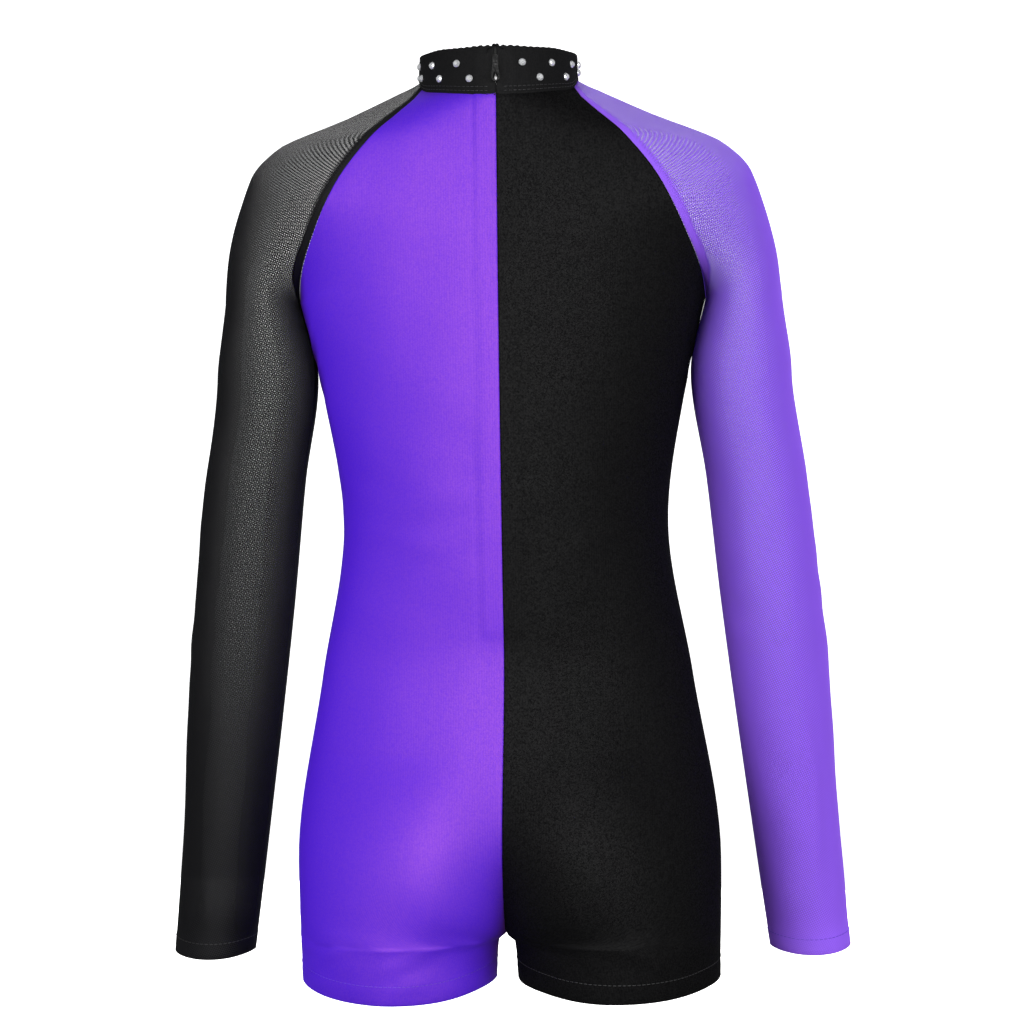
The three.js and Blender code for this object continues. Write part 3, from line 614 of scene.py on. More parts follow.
def power_mesh(name, yarn, foil, shine):
    """Sheer warp-knit mesh: a lattice of small diamond holes. The 'sheer' value opens them."""
    material, tree, shader = new_material(name)
    where = coordinates(tree)
    # Real holes are 0.7 mm apart. They are drawn wider apart so that the eye can find them. The rows
    # slant, so those of the front and back layers cross instead of lining up in broad patches.
    turned = add_node(tree, "ShaderNodeMapping", None, {
        "Vector": where, "Rotation": (0.0, 0.0, math.radians(HOLE_SLANT))}).outputs[0]
    axes = add_node(tree, "ShaderNodeSeparateXYZ", None, {"Vector": turned})
    pitch = 2 * math.pi / (HOLE_PITCH * MM)
    lattice = []
    for axis in ("X", "Y"):
        angle = add_node(tree, "ShaderNodeMath", {"operation": "MULTIPLY"}, {0: axes.outputs[axis], 1: pitch})
        cosine = add_node(tree, "ShaderNodeMath", {"operation": "COSINE"}, {0: angle.outputs[0]})
        lattice.append(cosine.outputs[0])
    both = add_node(tree, "ShaderNodeMath", {"operation": "ADD"}, {0: lattice[0], 1: lattice[1]}).outputs[0]
    hole = add_node(tree, "ShaderNodeMapRange", {"interpolation_type": "SMOOTHSTEP"}, {
        "Value": both, "From Min": -1.1, "From Max": 1.1, "To Min": 0.0, "To Max": 1.0}).outputs[0]
    # Where the cloth slopes away over the shoulder the holes are too short to tell apart.
    normal = add_node(tree, "ShaderNodeNewGeometry").outputs["Normal"]
    upright = add_node(tree, "ShaderNodeMath", {"operation": "ABSOLUTE"}, {
        0: add_node(tree, "ShaderNodeSeparateXYZ", None, {"Vector": normal}).outputs["Y"]}).outputs[0]
    plain_to_see = add_node(tree, "ShaderNodeMapRange", None, {
        "Value": upright, "From Min": 0.65, "From Max": 0.95, "To Min": 0.0, "To Max": 1.0}).outputs[0]
    hole = add_node(tree, "ShaderNodeMix", {"data_type": "FLOAT"}, {
        "Factor": plain_to_see, "A": 0.6, "B": hole}).outputs["Result"]
    sheer = add_node(tree, "ShaderNodeAttribute", {"attribute_name": "sheer"}).outputs["Fac"]
    open_share = add_node(tree, "ShaderNodeMath", {"operation": "MULTIPLY"}, {0: hole, 1: sheer}).outputs[0]
    alpha = add_node(tree, "ShaderNodeMath", {"operation": "SUBTRACT", "use_clamp": True}, {
        0: 1.0, 1: open_share})
    tree.links.new(alpha.outputs[0], shader.inputs["Alpha"])
    colour = add_node(tree, "ShaderNodeMix", {"data_type": "RGBA"}, {
        "Factor": shine, "A": linear(yarn), "B": linear(foil)}).outputs["Result"]
    tree.links.new(colour, shader.inputs["Base Color"])
    bump = add_node(tree, "ShaderNodeBump", None, {"Height": hole, "Strength": 0.3, "Distance": 0.0003})
    bump.invert = True
    tree.links.new(bump.outputs[0], shader.inputs["Normal"])
    shader.inputs["Roughness"].default_value = 0.6
    shader.inputs["Specular IOR Level"].default_value = 0.07
    return material


black_mesh = power_mesh("black_power_mesh", "#0c0c0d", "#303034", 0.25)
violet_mesh = power_mesh("violet_power_mesh", "#5c14ff", "#c488ff", 0.5)


def plain(name, colour, roughness, metallic=0.0, grain=0.0, grain_size=0.5):
    """A plain finish, with a little grain in its roughness so that it isn't too clean."""
    material, tree, shader = new_material(name, roughness, metallic)
    shader.inputs["Base Color"].default_value = linear(colour)
    if grain:
        where = add_node(tree, "ShaderNodeTexCoord").outputs["Object"]
        noise = add_node(tree, "ShaderNodeTexNoise", None, {
            "Vector": where, "Scale": 1 / (grain_size * MM), "Detail": 2.0}).outputs["Fac"]
        spread = add_node(tree, "ShaderNodeMapRange", None, {
            "Value": noise, "To Min": max(0, roughness - grain),
            "To Max": min(1, roughness + grain)}).outputs[0]
        tree.links.new(spread, shader.inputs["Roughness"])
        bump = add_node(tree, "ShaderNodeBump", None, {
            "Height": noise, "Strength": 0.2, "Distance": 0.0001}).outputs[0]
        tree.links.new(bump, shader.inputs["Normal"])
    return material


thread_black = plain("black_polyester_thread", "#202022", 0.55, grain=0.15, grain_size=0.4)
thread_violet = plain("violet_polyester_thread", "#5a24d8", 0.5, grain=0.15, grain_size=0.4)
nylon_coil = plain("black_nylon_coil", "#0c0c0d", 0.32, grain=0.08, grain_size=0.6)
black_zinc = plain("black_lacquered_zinc", "#060607", 0.14, 0.2, grain=0.05, grain_size=0.9)


def woven_tape():
    """Twill zip tape: fine slanting ribs, seen only inside the collar and in close views."""
    material, tree, shader = new_material("black_twill_tape", 0.8)
    shader.inputs["Base Color"].default_value = linear("#151516")
    where = coordinates(tree)
    twill = add_node(tree, "ShaderNodeTexWave", {"wave_type": "BANDS", "bands_direction": "DIAGONAL"}, {
        "Vector": where, "Scale": 260.0})
    bump = add_node(tree, "ShaderNodeBump", None, {
        "Height": twill.outputs["Fac"], "Strength": 0.6, "Distance": 0.0002})
    tree.links.new(bump.outputs[0], shader.inputs["Normal"])
    return material


twill_tape = woven_tape()


def crystal():
    """Cut glass on a silver back. Each facet throws back a bright or a dim part of the room, which
    a mesh can't trace, so each facet's colour holds a painted reflection: its own bright or dim shade."""
    material, tree, shader = new_material("silvered_cut_crystal", 0.16, 0.35)
    shade = add_node(tree, "ShaderNodeAttribute", {"attribute_name": "facet"}).outputs["Fac"]
    colour = add_node(tree, "ShaderNodeMix", {"data_type": "RGBA"}, {
        "Factor": shade, "A": linear("#b4b7bd"), "B": linear("#fbfdff")}).outputs["Result"]
    tree.links.new(colour, shader.inputs["Base Color"])
    shader.inputs["Coat Weight"].default_value = 0.6
    shader.inputs["Coat Roughness"].default_value = 0.03
    return material


cut_crystal = crystal()
print("materials:", len(bpy.data.materials))

# %% [markdown]
# ## Body panels
# Two back panels and two front panels are cut from knit and joined at the raglan seams, the side
# seams, the centre and the inner leg. Over the zip tape the cloth lies a little higher, so a soft
# ridge runs down each side of the opening. Small wrinkles fade out towards every seam.

# %% Rows and relief of the panels
ROW_STEP, LEG_STEP = 3.2, 2.6
# Each set of wrinkles: how high they stand, and their wave lengths across and down, in mm.
WRINKLES = {
    "back_and_front": (0.34, 70, 95), "waist": (0.30, 150, 26), "seat": (0.55, 110, 24),
    "sleeve": (0.45, 60, 120), "elbow": (0.4, 130, 30), "underarm": (0.5, 80, 15),
    "collar": (0.35, 46, 40), "collar_facing": (0.2, 40, 30),
}
# The first seed of each soft part's wrinkles.
SEEDS = {"back": 11, "front": 31, "sleeve": 51, "collar": 71, "collar_facing": 77}
# The folds by the armpit: each one's share of the height, its place and its width, in mm.
ARMPIT_HEIGHT = 0.75
ARMPIT_FOLDS = ((1.0, 0, 4.5), (-0.6, 9, 5), (0.8, 18, 4.5), (-0.5, 27, 6))
ZIP_RIDGE, ZIP_LINE = 0.42, 0.16
HEM_STEP, HEM_CHANNEL = 0.28, 0.25
SEAT = {"swell": 2.6, "tuck": 3.4, "cleft": 6.0}


def panel_stops():
    stops = [0.0, SHOULDER, DROP["armpit"], DROP["zip_end"], RISE_START["back"]]
    rise = [mix(RISE_START["back"], DROP["crotch"], math.sin(math.radians(a))) for a in range(6, 90, 6)]
    legs = refine([DROP["crotch"] + 1.5, DROP["hem"]], LEG_STEP)
    return refine(stops, ROW_STEP) + rise + [DROP["crotch"]] + legs


def body_relief(u, v, width, facing, seed):
    """How far the cloth stands out from the smooth form, in mm, at u across and v down."""
    to_seam = np.minimum(u, width - u)
    calm = smooth(2, 22, to_seam) * smooth(2, 18, v)
    high, *scales = WRINKLES["back_and_front"]
    relief = high * calm * waves(u, v, seed, *scales)
    # Slack gathers into short level creases at the small of the back and under the seat.
    waist = np.exp(-((v - DROP["waist"]) / 42) ** 2)
    high, *scales = WRINKLES["waist"]
    relief += high * calm * waist * waves(u, v, seed + 1, *scales)
    seat = np.exp(-((v - DROP["crotch"] - 4) / 26) ** 2)
    high, *scales = WRINKLES["seat"]
    relief += high * calm * seat * waves(u, v, seed + 2, *scales)
    # Soft slanting folds run from the armpit into the back.
    fold_line = (v - DROP["armpit"] - 34) + 0.75 * (width - u - 8)
    reach = np.exp(-((width - u - 22) / 24) ** 2)
    armpit = sum(a * np.exp(-((fold_line - at) / wide) ** 2) for a, at, wide in ARMPIT_FOLDS)
    relief += ARMPIT_HEIGHT * armpit * reach * smooth(0, 9, width - u)
    if facing == "back":
        # The zip tape under the cloth, and the line of its outer edge.
        ends = smooth(DROP["zip_end"] + TAPE_TAIL + 3, DROP["zip_end"] + TAPE_TAIL - 2, v)
        relief += ZIP_RIDGE * ends * smooth(TAPE_WIDTH + 2.2, TAPE_WIDTH + 0.4, u)
        relief -= ZIP_LINE * ends * np.exp(-((u - TAPE_WIDTH - 2.4) / 1.3) ** 2)
    # The folded hem stands out, and its stitches press a channel into it.
    relief += HEM_STEP * smooth(DROP["hem"] - LEG_HEM - 1.2, DROP["hem"] - LEG_HEM + 0.6, v)
    relief -= HEM_CHANNEL * np.exp(-((v - DROP["hem"] + LEG_HEM - 1) / 1.1) ** 2)
    return relief


def seat_depth(u, v):
    """How far the seat's middle is drawn in between its two sides, and tucked under them, in mm."""
    low = smooth(DROP["seat"] - 120, DROP["seat"] - 30, v)
    low = low * smooth(DROP["crotch"] - 2, DROP["crotch"] - 40, v)
    swell = SEAT["swell"] * np.exp(-((u - 62) / 34) ** 2 - ((v - DROP["seat"] + 22) / 46) ** 2)
    under = np.exp(-((u - 60) / 48) ** 2 - ((v - DROP["crotch"] - 4) / 22) ** 2)
    tuck = SEAT["tuck"] * smooth(0, 26, u) * under
    return SEAT["cleft"] * low * np.exp(-(u / 24) ** 1.6) + tuck - swell


CLOTH = 0.5
SHEER_CLOTH = 0.12
COLUMNS = 58


def panel_grid(facing, seed):
    stops = panel_stops()
    grid = np.stack([panel_row(d, facing, COLUMNS) for d in stops])
    if facing == "front":
        grid = grid[:, ::-1]
    inward = normals_of(grid)
    across = lengths(grid, 1)
    width = across[:, -1:]
    u = width - across if facing == "front" else across
    v = np.repeat(np.array(stops)[:, None], u.shape[1], 1)
    grid = grid - inward * body_relief(u, v, width, facing, seed)[..., None]
    if facing == "back":
        grid[..., 1] += seat_depth(u, v)
    uv = np.stack([u, v], -1)
    grid[0] += inward[0] * 0.1
    folded = turn_under(turn_under(grid, inward), inward, first=False)
    uv = extend(uv, grid, folded)
    inward = normals_of(folded)
    rolled = roll_under(folded, inward)
    rolled = roll_under(rolled, normals_of(rolled), last=False)
    return rolled, hold_ends(uv), grid


def declare_cloth(grid, length=None):
    """Works out how long the piece is down its rows; the length is not kept or used. Worn, cloth is stretched
    to a little more than its cut size.
    """
    length = length or float(lengths(grid, 0)[-1].max())


SIDES = {"right": 1, "left": -1}
KNIT = {"right": (black_knit, "black_knit"), "left": (violet_knit, "purple_knit")}
skin = {}
for facing in ("back", "front"):
    for side, sign in SIDES.items():
        grid, uv, plain_grid = panel_grid(facing, SEEDS[facing] + sign)
        name = f"{facing}_{side}_panel"
        piece = cloth_piece("cloth_" + name, grid, KNIT[side][0], CLOTH, sign, uv)
        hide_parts(name)
        declare_cloth(plain_grid)
        skin[facing, side] = plain_grid
print("panels:", grid.shape)

# %% [markdown]
# ## Sleeves
# Each sleeve is one piece of sheer mesh with a single inner seam. Where we look through it square on
# the holes are open and the white room shows through both layers. Towards the sides of the tube the
# yarns close up, and low on the arm the mesh is less stretched, so it looks nearly solid.

# %% Sleeves
CREASE, CUFF_STEP = 0.7, 0.2


def sleeve_relief(u, v, width, seed):
    """How far the mesh stands out from the smooth tube, in mm, at u round it and v down."""
    to_seam = np.minimum(u, width - u)
    calm = smooth(3, 26, to_seam) * smooth(4, 24, v)
    high, *scales = WRINKLES["sleeve"]
    relief = high * calm * waves(u, v, seed, *scales)
    # An upright crease low on the arm, where the narrow wrist pulls the tube in.
    crease = 0.30 * width + 4 * np.sin(v / 31)
    low = smooth(360, 400, v) * smooth(DROP["cuff"] - 12, DROP["cuff"] - 40, v)
    shape = np.exp(-((u - crease) / 4) ** 2) - 0.7 * np.exp(-((u - crease - 9) / 5) ** 2)
    relief += CREASE * low * shape
    # Ring creases at the elbow's inner side, and slanting ones under the arm.
    elbow = np.exp(-((v - ELBOW) / 46) ** 2)
    high, *scales = WRINKLES["elbow"]
    relief += high * calm * elbow * waves(u, v, seed + 1, *scales)
    under = np.exp(-((v - DROP["armpit"] - 20) / 22) ** 2) * np.exp(-(u / 26) ** 2)
    high, *scales = WRINKLES["underarm"]
    relief += high * under * smooth(1, 12, u) * waves(u, v, seed + 2, *scales)
    relief += CUFF_STEP * smooth(DROP["cuff"] - SLEEVE_HEM - 1, DROP["cuff"] - SLEEVE_HEM + 0.6, v)
    return relief


# How far the holes are open, from the neck down to the cuff.
SHEER = profile([
    (0, 0.95), (60, 0.95), (DROP["armpit"], 0.8), (330, 0.62), (430, 0.46), (515, 0.36),
    (DROP["cuff"] - 8, 0.08),
])
SLEEVE_COLUMNS = 72
MESH_KNIT = {"right": (violet_mesh, "purple_mesh"), "left": (black_mesh, "black_mesh")}


def sleeve_grid(seed):
    stops = refine([0.0, SHOULDER, DROP["armpit"], DROP["cuff"] - SLEEVE_HEM, DROP["cuff"]], ROW_STEP)
    grid = np.stack([sleeve_row(d, SLEEVE_COLUMNS) for d in stops])
    inward = normals_of(grid)
    u = lengths(grid, 1)
    width = u[:, -1:]
    v = np.repeat(np.array(stops)[:, None], u.shape[1], 1)
    grid = grid - inward * sleeve_relief(u, v, width, seed)[..., None]
    sheer = SHEER(v) * np.sqrt(1 - np.clip(inward[..., 0], -1, 1) ** 2) ** 0.8
    # The seam's two turned edges lie under the mesh and close its holes.
    sheer *= smooth(ALLOWANCE - 1.5, ALLOWANCE + 0.5, np.minimum(u, width - u))
    uv = np.stack([u - width / 2, v], -1)
    folded = turn_under(turn_under(grid, inward), inward, first=False)
    uv = extend(uv, grid, folded)
    shade = extend(np.stack([sheer, sheer], -1), grid, folded)[..., :1]
    turned = FOLD_COLUMNS + 1
    shade[:, :turned], shade[:, -turned:] = 0, 0
    rolled = roll_under(folded, normals_of(folded))
    rolled = roll_under(rolled, normals_of(rolled), last=False)
    return rolled, hold_ends(uv), hold_ends(shade)[..., 0], grid


for side, sign in SIDES.items():
    grid, uv, shade, plain_grid = sleeve_grid(SEEDS["sleeve"] + sign)
    piece = cloth_piece(f"cloth_{side}_sleeve", grid, MESH_KNIT[side][0], SHEER_CLOTH, sign, uv, shade)
    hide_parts(f"{side}_sleeve")
    declare_cloth(plain_grid)
    skin["sleeve", side] = plain_grid
print("sleeves:", grid.shape)

# %% [markdown]
# ## Hems and stitches
# A row of stitches holds each hem, and presses a shallow channel into the cloth. Each stitch is a
# short thread with ends that dip into the cloth, so the light catches only its middle.

# %% The turned-up band inside each hem
BAND_UNDER = 1.12


def ring_of(grids, from_bottom):
    """The closed line round a leg or cuff, at each of some distances up from the hem."""
    rows = []
    for up in from_bottom:
        line = []
        for grid in grids:
            heights = lengths(grid[::-1], 0)
            columns = [[np.interp(up, heights[:, j], grid[::-1, j, k]) for k in range(3)]
                       for j in range(grid.shape[1])]
            line += columns[:-1]
        rows.append(line)
    return np.array(rows)[::-1]


def ring_normals(ring):
    closed = np.concatenate([ring[:, -1:], ring, ring[:, :1]], 1)
    along = closed[:, 2:] - closed[:, :-2]
    down = np.gradient(ring, axis=0)
    inward = np.cross(along, down)
    return inward / np.maximum(np.linalg.norm(inward, axis=-1, keepdims=True), 1e-9)


def hem_band(sign, grids, high, material, slot, node):
    ring = ring_of(grids, [0.3, 1.5, 0.35 * high, 0.7 * high, high - 0.5])
    ring = ring + ring_normals(ring) * BAND_UNDER
    sheer = np.zeros(ring.shape[:2])
    piece = cloth_piece("cloth_" + node, ring, material, CLOTH, sign, sheer=sheer, wrapped=True)
    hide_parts(node)
    declare_cloth(np.concatenate([ring, ring[:, :1]], 1), length=high)


# %% Stitches
STITCH = {"pitch": 3.0, "hem_long": 2.5, "collar_long": 2.4}
THREAD_RADIUS = {"hem": 0.24, "cuff": 0.22, "collar": 0.2, "coil": 0.25, "coil_sewing": 0.12}


def threads(name, paths, radius, material, slot, sign=1, sides=6):
    """Many short threads in one mesh. Each path is an array of points in mm, thinner at its ends."""
    points, faces = [], []
    ring = [2 * math.pi * i / sides for i in range(sides)]
    for path in paths:
        start = len(points)
        forward = np.gradient(path, axis=0)
        for k, (at, way) in enumerate(zip(path, forward)):
            way = way / max(np.linalg.norm(way), 1e-9)
            helper = np.array([0.0, 0.0, 1.0]) if abs(way[2]) < 0.8 else np.array([1.0, 0.0, 0.0])
            a = np.cross(way, helper)
            a /= np.linalg.norm(a)
            b = np.cross(way, a)
            share = 0.35 if k in (0, len(path) - 1) else 1.0
            points += [at + radius * share * (a * math.cos(t) + b * math.sin(t)) for t in ring]
        for k in range(len(path) - 1):
            for i in range(sides):
                j = (i + 1) % sides
                low = start + k * sides
                faces.append((low + i, low + j, low + sides + j, low + sides + i))
        faces.append(tuple(start + i for i in reversed(range(sides))))
        faces.append(tuple(start + (len(path) - 1) * sides + i for i in range(sides)))
    mesh = bpy.data.meshes.new(name)
    places = lean(np.array(points) * MM * (sign, 1, 1)).tolist()
    mesh.from_pydata(places, [], [face if sign > 0 else face[::-1] for face in faces])
    mesh.polygons.foreach_set("use_smooth", [True] * len(mesh.polygons))
    mesh.materials.append(material)
    piece = bpy.data.objects.new(name, mesh)
    bpy.context.scene.collection.objects.link(piece)
    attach(piece, "garment")
    return piece


def stitch_paths(line, outward, pitch, long, closed=True, rise=0.12):
    """Cuts a line on the cloth into stitches that bow outwards and dip at both ends."""
    if closed:
        line, outward = np.concatenate([line, line[:1]]), np.concatenate([outward, outward[:1]])
    walked = np.concatenate([[0], np.cumsum(np.linalg.norm(np.diff(line, axis=0), axis=1))])
    count = int(walked[-1] / pitch)
    paths = []
    for i in range(count):
        start = (i + 0.5) * walked[-1] / count - long / 2
        at = start + long * np.array([0, 0.12, 0.35, 0.65, 0.88, 1.0])
        lift = np.array([-0.22, 0.02, rise, rise, 0.02, -0.22])
        spot = np.stack([np.interp(at, walked, line[:, k]) for k in range(3)], -1)
        out = np.stack([np.interp(at, walked, outward[:, k]) for k in range(3)], -1)
        paths.append(spot + out * lift[:, None])
    return paths


def hem_stitches(grids, high):
    """The row of stitches lies 1 mm below the turned edge. Its neighbours only give the direction."""
    ring = ring_of(grids, [high - 1.8, high - 1.0, high - 0.2])
    return stitch_paths(ring[1], -ring_normals(ring)[1], STITCH["pitch"], STITCH["hem_long"])


THREAD = {"right": (thread_black, "black_knit"), "left": (thread_violet, "purple_knit")}
CUFF_THREAD = {"right": (thread_violet, "purple_mesh"), "left": (thread_black, "black_mesh")}
for side, sign in SIDES.items():
    leg = [skin["back", side], skin["front", side]]
    cuff = [skin["sleeve", side]]
    hem_band(sign, leg, LEG_HEM, *KNIT[side], f"{side}_leg_hem")
    hem_band(sign, cuff, SLEEVE_HEM, *MESH_KNIT[side], f"{side}_sleeve_hem")
    leg_paths, cuff_paths = hem_stitches(leg, LEG_HEM), hem_stitches(cuff, SLEEVE_HEM)
    threads(f"stitches_{side}_leg_hem", leg_paths, THREAD_RADIUS["hem"], *THREAD[side], sign)
    threads(f"stitches_{side}_cuff", cuff_paths, THREAD_RADIUS["cuff"], *CUFF_THREAD[side], sign)
print("hems and stitches made")

# %% Overlocked seams
# Inside, the middle seams are bound with a cord of overlock thread, which also closes them to light.
CORD_UNDER, CORD_RADIUS = 1.9, 0.45
CORD_FROM = {"back": DROP["zip_end"] + TAPE_TAIL + 4, "front": 40}
for facing, column in (("back", 0), ("front", -1)):
    grid = skin[facing, "right"]
    seam_line = grid[:, column] + normals_of(grid)[:, column] * CORD_UNDER
    seam_line = seam_line[-grid[:, column, 2] > CORD_FROM[facing]]
    seam_line = seam_line[-seam_line[:, 2] < DROP["crotch"] - 1]
    seam_line[:, 0] = 0
    threads(f"overlock_{facing}", [seam_line], CORD_RADIUS, thread_black, "black_knit")
    print("overlock", facing, "points:", len(seam_line))

# %% [markdown]
# ## Collar
# The mock neck is a doubled band of knit. The zip pulls its top edge in near the opening, so it
# puckers into small notches there. A facing inside covers the outer edges of the tapes.

# %% Collar
PUCKER = 1.1
COLLAR_ROLL = 1.6


def inward_at(grid, row, column):
    """The grid's normals, turned so that the one at this point of the back looks into the body."""
    normals = normals_of(grid)
    return -normals if normals[row, column, 1] < 0 else normals


def collar_grid(open_half, ups, cells, sunk, pucker):
    start = math.asin(open_half / HALF["neck"])
    turn = np.linspace(start, 2 * math.pi - start, cells + 1)
    grid = np.stack([collar_point(turn, up, sunk) for up in ups])
    from_zip = np.minimum(turn, 2 * math.pi - turn) * HALF["neck"]
    to_middle = from_zip - from_zip[0]
    if open_half == SLIT:
        for i, up in enumerate(ups):
            near = np.exp(-to_middle / 2.5) * np.where(turn < math.pi, 1, -1)
            shut = 1 - smooth(0.28, 0.5, up) * smooth(1.0, 0.93, up)
            grid[i, :, 0] -= near * shut * (SLIT - SLIT_CLOSED)
    ruck = np.exp(-from_zip / 24) * np.sin(2 * math.pi * from_zip / 4.6 + 1.1) + 0.35 * np.sin(from_zip / 5.1)
    for i, up in enumerate(ups):
        grid[i, :, 2] += pucker * 0.5 * smooth(0.55, 1.0, up) * ruck
    return grid, turn


ups = [1.0, 0.985, 0.96, 0.93, 0.88, 0.82, 0.75, 0.67, 0.6, 0.5, 0.4, 0.3, 0.2, 0.12, 0.07, 0.03, 0.0]
outer, turn = collar_grid(SLIT, ups, 230, 0.0, PUCKER)
inward = inward_at(outer, 0, 0)
u = lengths(outer, 1)
v = lengths(outer, 0)
from_zip = np.minimum(u, u[:, -1:] - u)
high, *scales = WRINKLES["collar"]
stand = high * smooth(1, 8, from_zip) * smooth(0, 4, v) * waves(u, v, SEEDS["collar"], *scales)
stand += 0.42 * np.exp(-from_zip / 26) * np.exp(-v / 5.0) * np.sin(2 * math.pi * from_zip / 4.6)
stand += 0.3 * smooth(TAPE_WIDTH + 2.0, TAPE_WIDTH + 0.4, from_zip)
# The twin needle presses a shallow channel along the seam.
stand -= 0.18 * np.exp(-((v[-1:] - v - 2.6) / 0.9) ** 2)
outer = outer - inward * stand[..., None]
folded = turn_under(turn_under(outer, inward), inward, first=False)
collar_uv = extend(np.stack([u, v], -1), outer, folded)
rolled = roll_under(folded, inward_at(folded, 4, 20), last=False, depth=COLLAR_ROLL)
rolled = roll_under(rolled, inward_at(rolled, 8, 20))
collar_outer = cloth_piece("cloth_collar_outer", rolled, collar_knit, CLOTH, 1, hold_ends(collar_uv))
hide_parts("collar_outer")
declare_cloth(outer)

FACING_OPEN = 6.4
FACING_SUNK = 2.9
facing_ups = [0.965, 0.94, 0.88, 0.75, 0.6, 0.45, 0.3, 0.18, 0.11, 0.09]
inner, _ = collar_grid(FACING_OPEN, facing_ups, 200, FACING_SUNK, PUCKER * 0.5)
iu, iv = lengths(inner, 1), lengths(inner, 0)
high, *scales = WRINKLES["collar_facing"]
ripple = high * waves(iu, iv, SEEDS["collar_facing"], *scales)
inner = inner - inward_at(inner, 0, 0) * ripple[..., None]
facing = cloth_piece("cloth_collar_facing", inner, collar_knit, CLOTH, 1, np.stack([iu, iv], -1))
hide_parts("collar_facing")
declare_cloth(inner)

# Two rows of stitches just above the collar seam, each at a share of the collar's height.
COLLAR_ROWS = (0.075, 0.16)
collar_paths = []
for up in COLLAR_ROWS:
    line = np.stack([np.array([np.interp(up, ups[::-1], outer[::-1, j, k]) for k in range(3)])
                     for j in range(3, outer.shape[1] - 3)])
    out = -inward[-3, 3:-3]
    collar_paths += stitch_paths(line, out, STITCH["pitch"], STITCH["collar_long"], closed=False)
threads("stitches_collar", collar_paths, THREAD_RADIUS["collar"], thread_black, "collar_knit")
print("collar:", rolled.shape, "stitches:", len(collar_paths))

# %% [markdown]
# ## Invisible zip
# The tapes lie face down behind the two cloth edges, so from outside only a fine line shows. Each
# coil is a real spiral of nylon thread, sewn to its tape. The slider wraps both coils from inside,
# and its narrow web comes out between the cloth edges to carry the pull.

# %% Tapes, coils and stops
ZIP_TOP = -COLLAR["height"] + 2.0
COIL_NEAR, COIL_WIDE = 0.8, 1.6
TAPE_UNDER, TAPE_THICK = 1.9, 0.6
COIL_UNDER = TAPE_UNDER + TAPE_THICK + 0.3


def skin_y(x, d):
    """How far back the skin lies at x from the middle and d below the nape, in mm."""
    if d < 0:
        return float(spine_y(d)) * math.sqrt(1 - (x / HALF["neck"]) ** 2)
    reach = shoulder_half(d) if d < DROP["armpit"] else float(torso_half(d))
    n = float(fullness(d))
    middle = float(centre_y(d))
    return middle + (float(spine_y(d)) - middle) * (1 - (abs(x) / reach) ** n) ** (1 / n)


def zip_point(x, depth, d):
    """A point by the zip: x from the middle, depth below the skin, d below the nape, all in mm."""
    tilt = math.asin((d - SPINE_APEX_DROP) / SPINE_RADIUS)
    return (x, skin_y(x, d) + depth * math.cos(tilt), -d + depth * math.sin(tilt))


tape_stops = refine([ZIP_TOP, DROP["zip_end"] + TAPE_TAIL], 2.5)
tape_across = [0.0, 0.6, 1.2, 2.4, 4.8, 8.0, 11.0, TAPE_WIDTH - 0.5, TAPE_WIDTH]
PITCH, TURN_POINTS = 1.3, 10
coil_from, coil_to = ZIP_TOP + 2.5, DROP["zip_end"] - 2.5
turns = (coil_to - coil_from) / PITCH
for side, sign in SIDES.items():
    grid = np.array([
        [zip_point(COIL_NEAR + x, TAPE_UNDER + 0.06 * math.sin(d / 3.1 + x), d) for x in tape_across]
        for d in tape_stops])
    tape = cloth_piece(f"tape_{side}", grid, twill_tape, TAPE_THICK - 0.1, sign)
    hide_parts(f"zip_tape_{side}")
    path = []
    for i in range(int(turns * TURN_POINTS) + 1):
        t = 2 * math.pi * i / TURN_POINTS
        d = coil_from + PITCH * i / TURN_POINTS
        across = COIL_NEAR + COIL_WIDE / 2 + (COIL_WIDE / 2 - 0.27) * math.cos(t)
        depth = COIL_UNDER + 0.8 + 0.52 * math.sin(t)
        path.append(zip_point(across, depth, d))
    coil = threads(f"coil_{side}", [np.array(path)], THREAD_RADIUS["coil"], nylon_coil, "zip_coil",
                   sign, sides=5)
    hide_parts(f"zip_coil_{side}")
    sewing = []
    for d in np.arange(coil_from + 1, coil_to - 1, 2.6):
        sewing.append(np.array([zip_point(COIL_NEAR + 0.95, COIL_UNDER + 1.62 + k, d + s)
                                for s, k in ((0, -0.3), (0.4, 0), (1.2, 0.05), (2.0, 0), (2.4, -0.3))]))
    threads(f"coil_sewing_{side}", sewing, THREAD_RADIUS["coil_sewing"], thread_black, "zip_tape",
            sign, sides=5)
print("coil turns:", round(turns))

# Above the slider each tape's end is folded down over itself, into a small soft bump that fills the
# top of the opening.
# Each row of the fold: its height above the nape, its reach from the middle and its depth, in mm.
TAPE_END = [
    (25.3, 1.9, 1.5), (27.0, 2.0, 1.45), (29.0, 2.1, 1.3), (30.6, 2.15, 1.15), (31.6, 2.1, 1.3),
    (32.2, 1.95, 1.9), (32.2, 1.9, 2.5), (31.6, 2.0, 3.1), (30.4, 2.1, 3.3), (29.0, 2.1, 3.3),
]
for side, sign in SIDES.items():
    rows = []
    for up, reach, lift in TAPE_END:
        row = []
        for k in np.linspace(0, 1, 9):
            depth = lift + 0.5 * (2 * k - 1) ** 4 + 0.08 * math.sin(9 * k + up)
            row.append(zip_point(0.02 + reach * k, depth, -up))
        rows.append(row)
    tab = cloth_piece(f"tape_end_{side}", np.array(rows), twill_tape, 0.3, sign)


